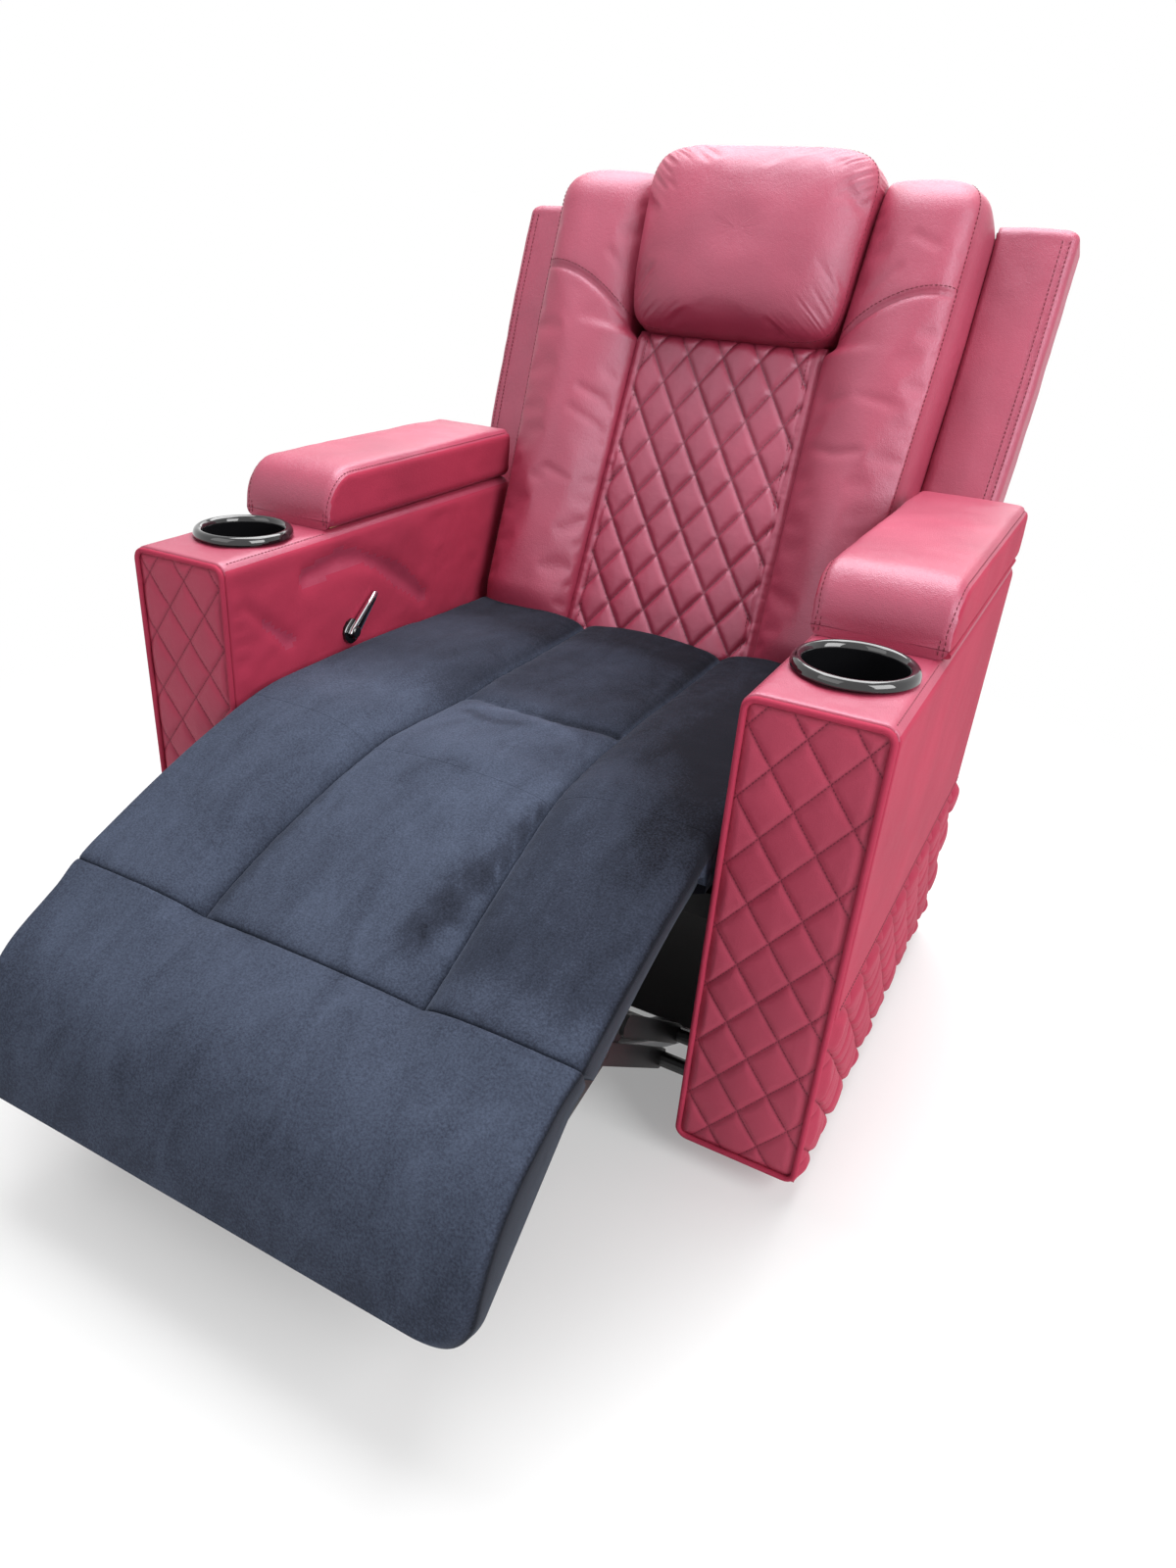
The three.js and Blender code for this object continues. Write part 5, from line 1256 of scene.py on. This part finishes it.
def bolster_form(side):
    """A long plump bolster: a curved seam across its upper part and a sewn outer corner."""
    front, gusset, rear, inward = BOLSTER_COLUMNS
    q = eased(front)
    rise = 431.0 + 64.0 * (1 - (1 - q) ** 2.2)
    behind = mix(rise[-1], rise[0], np.linspace(0, 1, rear))
    seam_s = np.concatenate([rise, np.full(gusset, rise[-1]), behind, np.full(inward, rise[0])])
    below, above = BOLSTER_ROWS
    up = np.linspace(0, 1, below + 1)[:-1] ** 0.96
    over = 1 - (1 - np.linspace(0, 1, above)) ** 1.25
    s = np.vstack([mix(-BACK_TUCK, seam_s, up[:, None]), mix(seam_s, BOLSTER_TOP, over[:, None])])
    s_front = s[:, :front]
    seed = 3 * (side > 0)

    tip = np.clip((s - (BOLSTER_TOP - 66)) / 66.0, 0, 1)
    full = np.sqrt(np.clip(1 - tip**2.4, 0, 1))
    foot = 0.6 + 0.4 * smooth((s + BACK_TUCK) / 60.0)
    outer = bolster_half(s) - 34.0 * (1 - full) - 22.0 * tip**4
    inner = mix(lumbar_half(s), head_half(s), smooth((s - LUMBAR_TOP + 18) / 16.0)) + 1.5

    x = np.zeros_like(s)
    n = np.zeros_like(s)
    part = slice(0, front)
    x[:, part] = mix(inner[:, part], outer[:, part] - 9.0, q)
    crown = (BOLSTER_CROWN - 5.0) * foot[:, part] * np.maximum(full[:, part], 0.05)
    seam = (BOLSTER_SEAM + 3.0) * foot[:, part] * full[:, part]
    hump = (1 - np.abs(2 * q - 1) ** 2.6) ** 0.6
    off = s_front - rise
    depth = mix(0.0, seam, q) + (crown - seam * 0.5) * hump - 34.0 * (1 - full[:, part])
    depth = depth + (crease(off, 3.0, 1.5) + groove(off, 1.3, 7.5)) * np.minimum(1.0, hump * 1.6)
    pucker = wrinkle(x[:, part] / 8.0, s_front / 60.0, 85 + seed) * fading(off, 12.0) * 0.9
    folds = wrinkle(s_front / 24.0, q * 2.0, 81 + seed) * 1.5 * near(q, 0.16)
    outer_folds = wrinkle(s_front / 12.0, q * 1.5, 87 + seed) * 1.1 * near(1 - q, 0.12)
    broad = wrinkle(s_front / 130.0, q * 1.2, 91 + seed) * 1.4
    slack = 0.0
    for path in BOLSTER_SLACK[side]:
        slack = slack + groove(near_path(q * 140.0, s_front, path), 1.5, 6.0)
    n[:, part] = depth + (pucker + folds + outer_folds + broad + slack) * hump

    part = slice(front, front + gusset)
    t = np.linspace(0, 1, gusset + 1)[1:]
    n[:, part] = mix(n[:, front - 1 : front], -CUSHION_DEPTH, t)
    swollen = outer[:, part] + 2.0 * np.sin(math.pi * t) * full[:, part]
    swollen = swollen - 9.0 * (1 - np.minimum(1, t / 0.3)) ** 2
    x[:, part] = np.minimum(swollen, np.where(s[:, part] < 300, ARM_INNER - 3.0, ARM_INNER + 1.0))
    part = slice(front + gusset, front + gusset + rear)
    x[:, part] = mix(outer[:, part], inner[:, part], np.linspace(0, 1, rear + 1)[1:])
    n[:, part] = -CUSHION_DEPTH
    part = slice(-inward, None)
    x[:, part] = inner[:, part]
    n[:, part] = mix(-CUSHION_DEPTH, n[:, :1], np.linspace(0, 1, inward + 2)[1:-1])

    held = np.ones_like(s)
    free = smooth(q / 0.05) * smooth((1 - q) / 0.03)
    held[:, :front] = 1 - free * smooth(np.abs(off) / 5.0) * smooth((s_front + BACK_TUCK) / 30.0)
    held[:, :front] = np.maximum(held[:, :front], 0.5 * smooth((tip[:, :front] - 0.5) / 0.5))
    held[:, front : front + gusset] = mix(0.9, 1.0, t)
    points, faces = loft(from_back(x, n, s))
    held = np.append(held.ravel(), [1.0, 1.0])
    return dict(points=points, faces=faces, held=held, pressure=2.5, growth=0.003, cap=9.0, bending=12.0)


BOLSTER_SLACK = {
    1: (
        ((30, 352), (62, 362), (100, 356)),
        ((18, 292), (52, 286), (84, 292)),
        ((70, 560), (100, 548)),
        ((26, 486), (60, 520)),
    ),
    -1: (((50, 330), (24, 322)), ((58, 300), (22, 286)), ((40, 520), (18, 500)), ((74, 212), (38, 200))),
}


def bolster(side, letter, form):
    """A bolster's leather, with stitches by its outer corner and its curved seam."""
    shape = form["points"], form["faces"]
    build(f"bolster_leather_{letter}", shape, leather, "back", [f"bolster_{letter}"], side)
    front, seam_row = BOLSTER_COLUMNS[0], BOLSTER_ROWS[0]
    rows, columns = sum(BOLSTER_ROWS), sum(BOLSTER_COLUMNS)
    grid = form["points"][: rows * columns].reshape(rows, columns, 3) + FORWARD * 0.45
    lines = [grid[8:-6, front - 5] + np.array([0.4, 0, 0]), grid[seam_row + 2, 3 : front - 3]]
    sew(f"bolster_stitches_{letter}", lines, "back", side)


HEAD_SPOKES = 240
HEAD_RINGS = (44, 14, 8)
HEAD_SEAM = 18.0
HEAD_SLACK = (
    (4.0, 7.0, ((112, 640), (128, 606), (150, 590))),
    (2.5, 6.0, ((96, 646), (112, 618), (120, 596))),
)


def head_form():
    """The head cushion: a plump front panel sewn to a band that runs round its sides and top."""
    front, band, rear = HEAD_RINGS
    turn = np.linspace(0, 2 * math.pi, HEAD_SPOKES, endpoint=False)
    middle = (HEAD_TOP + HEAD_FOOT) / 2
    half_tall = (HEAD_TOP - HEAD_FOOT) / 2
    corner = np.where(np.sin(turn) > 0, 0.32, 0.27)

    def outline(power):
        edge_x = np.sign(np.cos(turn)) * np.abs(np.cos(turn)) ** power
        return edge_x, np.sign(np.sin(turn)) * np.abs(np.sin(turn)) ** power

    edge_x, edge_s = outline(corner)
    lying = smooth(-edge_s * 1.4 - 0.25)
    seam_n = HEAD_SEAM - 14.0 * lying
    side = np.abs(np.cos(turn)) ** 2
    rings = []
    held = []
    for r in np.sin(np.linspace(0, math.pi / 2, front + 1))[1:]:
        round_x, round_s = outline(mix(0.9, corner, r**2))
        s = middle + round_s * r * half_tall
        across = round_x * r * head_half(s)
        fullness = np.clip(1 - r ** mix(3.3, 2.7, side), 0, 1) ** mix(0.40, 0.5, side)
        edge = near(1 - r, 0.13) * (1 - r**16)
        gather = wrinkle(turn * 22.0, r * 2.0, 103) * edge * mix(1.2, 3.2, side)
        broad = wrinkle(across / 95.0, s / 80.0, 101) * 2.0 * (1 - r**6)
        n = seam_n + (HEAD_CROWN - 5.0 - seam_n) * fullness + gather + broad
        for depth, width, path in HEAD_SLACK:
            n = n + groove(near_path(across, s, path), depth, width) * (1 - r**10)
        rings.append(from_back(across, n, s))
        held.append(np.full(HEAD_SPOKES, float(smooth((r - 0.975) / 0.02))))
    for t in np.linspace(0, 1, band + 1)[1:]:
        swollen = 3.5 * math.sin(math.pi * t) - 1.2 * fading(t, 0.08)
        s = middle + edge_s * (half_tall + swollen * (1 - lying))
        across = edge_x * (head_half(s) + swollen)
        creased = wrinkle(turn * 22.0, t * 2.0, 105) * 1.6 * fading(t, 0.3) * (1 - lying)
        n = mix(seam_n, -CUSHION_DEPTH, t)
        rings.append(from_back(across + creased * edge_x, n, s + creased * edge_s))
        held.append(np.full(HEAD_SPOKES, 0.95))
    for r in np.linspace(1, 0, rear + 2)[1:-1]:
        s = middle + edge_s * r * half_tall
        rings.append(from_back(edge_x * r * head_half(s), -CUSHION_DEPTH, s))
        held.append(np.ones(HEAD_SPOKES))
    faces = quads(len(rings), HEAD_SPOKES, wrap=True)
    hubs = [from_back(0.0, HEAD_CROWN - 5.0, middle), from_back(0.0, -CUSHION_DEPTH, middle)]
    first = len(rings) * HEAD_SPOKES
    last = first - HEAD_SPOKES
    for c in range(HEAD_SPOKES):
        d = (c + 1) % HEAD_SPOKES
        faces.append((first, d, c))
        faces.append((first + 1, last + c, last + d))
    points, faces = outward(np.vstack(rings + hubs), faces)
    held = np.append(np.array(held).ravel(), [0.0, 1.0])
    return dict(points=points, faces=faces, held=held, pressure=3.0, growth=0.004, cap=10.0, bending=8.0)


def head(form):
    """The head cushion's leather, with stitches along both its sides."""
    build("head_leather", (form["points"], form["faces"]), leather, "back", ["head_cushion"])
    seam_ring = HEAD_RINGS[0] - 4
    ring = form["points"][seam_ring * HEAD_SPOKES : (seam_ring + 1) * HEAD_SPOKES] + FORWARD * 0.5
    quarter = HEAD_SPOKES // 4
    right = np.concatenate([ring[-quarter + 6 :], ring[: quarter - 6]])
    left = ring[quarter + 6 : 3 * quarter - 6]
    sew("head_stitches", [right, left], "back")


def wing(side, letter):
    """A flat padded wing beside and behind its bolster, with a seam down its outer edge."""
    radius = 14.0
    sections = []
    for s in mix(WING_FOOT, WING_TOP, eased(110)):
        inset = radius * round_off(1 - min(s - WING_FOOT, WING_TOP - s) / radius) * 0.9
        outer = wing_half(s) - inset
        places, normals = rounded_rectangle(
            WING_INNER, -WING_FACE - WING_THICK + inset, outer, -WING_FACE - inset, radius - 1, (24, 10)
        )
        x, n = places[:, 0], places[:, 1]
        lift = 3.0 * np.sin(math.pi * np.clip((x - WING_INNER) / (outer - WING_INNER), 0, 1))
        lift = lift + wrinkle(s / 80.0, x / 50.0, 111 + side) * 1.2 + wrinkle(s / 18.0, x / 24.0, 113) * 0.3
        seam = x - outer + radius
        gathers = np.sin(s / 3.1 + 3 * math.sin(s / 47.0)) * 0.3 * fading(seam, 8.0)
        lift = lift + (crease(seam, 1.6, 2.4) + gathers) * (n > -WING_FACE - 6)
        grown = places + normals * lift[:, None]
        grown[:, 0] = np.maximum(grown[:, 0], WING_INNER)
        beside = float(bolster_half(s)) + 2.4
        behind_bolster = (grown[:, 0] < beside + 4) & (grown[:, 1] > -CUSHION_DEPTH)
        grown[behind_bolster, 0] = beside
        sections.append(from_back(grown[:, 0], grown[:, 1], s))
    shape = loft(np.array(sections))
    build(f"wing_leather_{letter}", shape, leather, "back", [f"wing_{letter}"], side)
    s = np.linspace(WING_FOOT + 14, WING_TOP - 12, 80)
    lines = []
    for off in (radius + 4.5, radius - 5.0):
        sunk = radius - math.sqrt(radius**2 - max(0.0, radius - off) ** 2)
        lines.append(from_back(wing_half(s) - off, -WING_FACE + 2.1 - sunk, s))
    sew(f"wing_stitches_{letter}", lines, "back", side)


COVER_MIDDLE = 298.0
COVER_REACH = 338.0
COVER_ROUND = 18.0
COVER_SEAM = 26.0
BACK_FRAME = 40.0  # how thick the back's timber is, with FRAME_GAP before it
FRAME_GAP = 0.6


def back_cover():
    """The outer back: one leather panel with a seam sunk in it all round."""
    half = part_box("back_panel")[1][0] / MM
    start = CUSHION_DEPTH + FRAME_GAP + BACK_FRAME

    def skin(x, s):
        """How far back the cover stands."""
        up = s - COVER_MIDDLE
        crown = 4.0 * (1 - (x / half) ** 4) * (1 - (up / COVER_REACH) ** 4)
        inset = np.minimum(half - np.abs(x), COVER_REACH - np.abs(up))
        loose = wrinkle(x / 110.0, s / 150.0, 81) * 0.7 * smooth((inset - 30) / 60.0)
        return -start - 8.0 - crown + loose - groove(inset - COVER_SEAM, 1.5, 1.8)

    bottom, top = COVER_MIDDLE - COVER_REACH, COVER_MIDDLE + COVER_REACH
    x, s = np.meshgrid(mix(-half, half, eased(150)), mix(bottom, top, eased(170)))
    up = s - COVER_MIDDLE
    over_x = np.clip(np.abs(x) - half + COVER_ROUND, 0, None)
    over_s = np.clip(np.abs(up) - COVER_REACH + COVER_ROUND, 0, None)
    over = np.clip(np.hypot(over_x, over_s) - COVER_ROUND, 0, None)
    pull = 1 - over / math.hypot(half, COVER_REACH)
    x_in, s_in = x * pull, COVER_MIDDLE + up * pull
    shape = slab(from_back(x_in, skin(x, s), s_in), from_back(x_in, -start, s_in))
    build("back_cover", shape, leather, "back", ["back_panel"])
    seam, _ = rounded_rectangle(-half + 30, bottom + 30, half - 30, top - 30, 12.0, (60, 70))
    x, s = seam[:, 0], seam[:, 1]
    sew("back_cover_stitches", [from_back(x, skin(x, s) - 0.1, s)], "back")


# ---------------------------------------------------------------- hard parts
def paint_frame():
    """Gives each CAD solid that stays in view its material."""
    looks = {
        "black_steel": black_steel,
        "silver_steel": silver_steel,
        "spring_steel": spring_steel,
        "gloss_black": gloss_black,
        "matt_black": matt_black,
        "timber": timber,
        "chrome": chrome,
        "leatherette": leather,
        "velvet": velvet,
        "lining": lining,
    }
    covered = {
        "lid_hinge": dull_leather,
        "back_post": dull_leather,
        "back_top_rail": dull_leather,
        "back_bottom_rail": dull_leather,
        "footrest_board": lining,
    }
    slots = {p["node"]: p["material_slot"] for p in frame["record"]["subparts"]}
    for name, obj in frame["nodes"].items():
        cover = [look for start, look in covered.items() if name.startswith(start)]
        obj.data.materials.clear()
        obj.data.materials.append(cover[0] if cover else looks[slots[name]])
        if slots[name] in ("black_steel", "timber", "matt_black", "silver_steel"):
            edge = obj.modifiers.new("edge", "BEVEL")
            edge.width = 1.2 * MM
            edge.segments = 2
            edge.limit_method = "ANGLE"
            edge.angle_limit = math.radians(40)


def base_ring():
    """The steel ring the chair stands on."""
    inner = RING_RADIUS - RING_WIDTH
    middle = RING_RADIUS - RING_WIDTH / 2
    profile = [(inner + 1, 0.0), (RING_RADIUS - 1, 0.0), (RING_RADIUS, 3.0)]
    for t in np.radians(np.linspace(0, 180, 17)):
        height = RING_HEIGHT * mix(0.3, 1.0, math.sin(t) ** 0.8)
        profile.append((middle + math.cos(t) * RING_WIDTH / 2, height))
    profile.append((inner, 3.0))
    turn = np.linspace(0, 2 * math.pi, 160, endpoint=False)
    points = [[r * math.cos(t), r * math.sin(t) + RING_Y, z] for t in turn for r, z in profile]
    shape = outward(np.array(points), quads(len(turn), len(profile), wrap=True, closed=True))
    obj = build("ring_steel", shape, silver_steel, "base", ["base_ring"])
    soften(obj, 50.0)


def lever():
    """A tapering chromed blade with a black inlay, on a black hub."""
    thick = 6.0
    x0 = -299.4
    x1 = x0 + thick
    tip = 66.0
    outline = [(-8, -7.0), (0, -8.5), (16, -7.6), (40, -6.0), (tip - 5, -4.4), (tip - 1.2, -2.6), (tip, 0)]
    outline += [(a, -b) for a, b in outline[-2::-1]]
    path = np.array(outline, float)
    along = np.array([math.cos(LEVER_ANGLE), math.sin(LEVER_ANGLE)])
    aside = np.array([-along[1], along[0]])

    def plate(path, near, far, edge):
        rows = []
        for x, inset in ((near, edge), (near + edge, 0.0), (far - edge, 0.0), (far, edge)):
            scaled = path * (1 - inset / 12.0)
            places = scaled[:, :1] * along + scaled[:, 1:] * aside + np.array([LEVER_Y, LEVER_Z])
            rows.append(np.column_stack([np.full(len(places), x), places]))
        return loft(np.array(rows))

    blade = build("lever_blade", plate(path, x0, x1, 1.2), chrome, "lever", ["lever_handle"])
    soften(blade, 40.0)
    inlay = path * np.array([0.72, 0.5]) + np.array([10.0, 0.0])
    build("lever_inlay", plate(inlay, x1 - 1.0, x1 + 0.25, 0.2), gloss_black, "lever")
    turn = np.linspace(0, 2 * math.pi, 40, endpoint=False)
    rows = []
    for x, r in ((x0 - 0.1, 8.0), (x1 + 1.0, 8.0), (x1 + 2.4, 6.5)):
        y, z = LEVER_Y + r * np.cos(turn), LEVER_Z + r * np.sin(turn)
        rows.append(np.column_stack([np.full(len(turn), x), y, z]))
    hub = build("lever_hub", loft(np.array(rows)), gloss_black, "lever")
    soften(hub, 40.0)


# ---------------------------------------------------------------- stage, light and camera
def stage():
    """A pale floor that keeps the shadow and turns white beyond it for the camera, and a white world."""
    bpy.ops.mesh.primitive_plane_add(size=30.0, location=(0, 0, -0.0005))
    floor = bpy.context.object
    floor.name = "floor"
    material, tree, shader = new_material("floor")
    pale = {"Base Color": (0.86, 0.86, 0.86, 1), "Roughness": 0.9, "Specular IOR Level": 0.1}
    feed(tree, shader, pale)
    away = add(tree, "VectorMath", {0: object_place(tree)}, operation="LENGTH").outputs["Value"]
    beyond = spread(tree, away, 0.5, 1.5, 0.3, 1.0, "SMOOTHSTEP")
    white = add(tree, "Emission", {"Strength": 1.0})
    share = reckon(tree, "MULTIPLY", beyond, clear_rays(tree))
    show_mixed(tree, "Material Output", share, shader, white)
    floor.data.materials.append(material)
    world = bpy.data.worlds.new("world")
    bpy.context.scene.world = world
    world.use_nodes = True
    tree = world.node_tree
    light = tree.nodes["Background"]
    feed(tree, light, {"Color": (1, 1, 1, 1), "Strength": WORLD_LIGHT})
    white = add(tree, "Background", {"Color": (1, 1, 1, 1), "Strength": 1.0})
    show_mixed(tree, "World Output", clear_rays(tree), light, white)


def show_mixed(tree, output, share, first, second):
    mixed = add(tree, "MixShader", {"Fac": share, 1: first.outputs[0], 2: second.outputs[0]})
    feed(tree, tree.nodes[output], {"Surface": mixed.outputs[0]})


def clear_rays(tree):
    """1 for rays from the camera, off a mirror or through glass, and 0 for those that light things."""
    ray = add(tree, "LightPath").outputs
    seen = ray["Is Camera Ray"]
    for kind in ("Is Transmission Ray", "Is Glossy Ray"):
        seen = reckon(tree, "MAXIMUM", seen, ray[kind])
    return seen


def area_light(name, place, target, size, power):
    data = bpy.data.lights.new(name, "AREA")
    data.shape = "RECTANGLE"
    data.size, data.size_y = size
    data.energy = power
    obj = bpy.data.objects.new(name, data)
    bpy.context.scene.collection.objects.link(obj)
    way = np.array(target) - np.array(place)
    obj.location = place
    obj.rotation_euler = Vector(way).to_track_quat("-Z", "Y").to_euler()
    return obj


LIGHTS = (
    ("key", (2.8, -1.0, 2.1), (0, 0, 0.5), (2.0, 2.0), 84),
    ("front", (-0.9, -2.1, 2.2), (0, 0.2, 0.8), (2.0, 2.0), 17),
    ("top", (-0.2, 0.9, 3.1), (0, 0.1, 0.5), (2.6, 2.6), 150),
    ("rear", (-0.6, 3.0, 1.9), (0, 0, 0.6), (2.6, 1.6), 28),
)
WORLD_LIGHT = 0.22
CAMERA_PLACE = (564.3, -865.2, 917.3)
CAMERA_AZIMUTH = math.radians(28.5546)
CAMERA_ELEVATION = math.radians(28.6929)
CAMERA_ROLL = math.radians(3.0120)
CAMERA_LENS = 24.835
CAMERA_SHIFT = (0.04227, 0.01638)


def camera():
    """The photo's camera, fitted to the straight edges of the arms."""
    data = bpy.data.cameras.new("camera")
    data.sensor_fit = "AUTO"
    data.sensor_width = 36.0
    data.lens = CAMERA_LENS
    data.shift_x, data.shift_y = CAMERA_SHIFT
    data.clip_start = 0.05
    obj = bpy.data.objects.new("camera", data)
    bpy.context.scene.collection.objects.link(obj)
    az, el, roll = CAMERA_AZIMUTH, CAMERA_ELEVATION, CAMERA_ROLL
    back = np.array([math.sin(az) * math.cos(el), -math.cos(az) * math.cos(el), math.sin(el)])
    right = np.cross(-back, [0.0, 0.0, 1.0])
    right /= np.linalg.norm(right)
    up = np.cross(right, -back)
    right, up = right * math.cos(roll) + up * math.sin(roll), -right * math.sin(roll) + up * math.cos(roll)
    turn = Matrix([[right[i], up[i], back[i]] for i in range(3)]).to_4x4()
    turn.translation = to_row(CAMERA_PLACE)
    obj.matrix_world = turn
    bpy.context.scene.camera = obj
    bpy.context.scene.view_settings.view_transform = "Standard"


paint_frame()
for side, letter in ((1, "R"), (-1, "L")):
    arm(side, letter)
    arm_front(side, letter)
    arm_side(side, letter)
    arm_seams(side, letter)
    cup(side, letter)
    lid(side, letter)
    wing(side, letter)
cushions = [bolster_form(1), bolster_form(-1), head_form()]
swell(cushions)
bolster(1, "R", cushions[0])
bolster(-1, "L", cushions[1])
head(cushions[2])
seat()
chaise()
footrest()
lumbar()
back_cover()
base_ring()
lever()
stage()
for light in LIGHTS:
    area_light(*light)
camera()
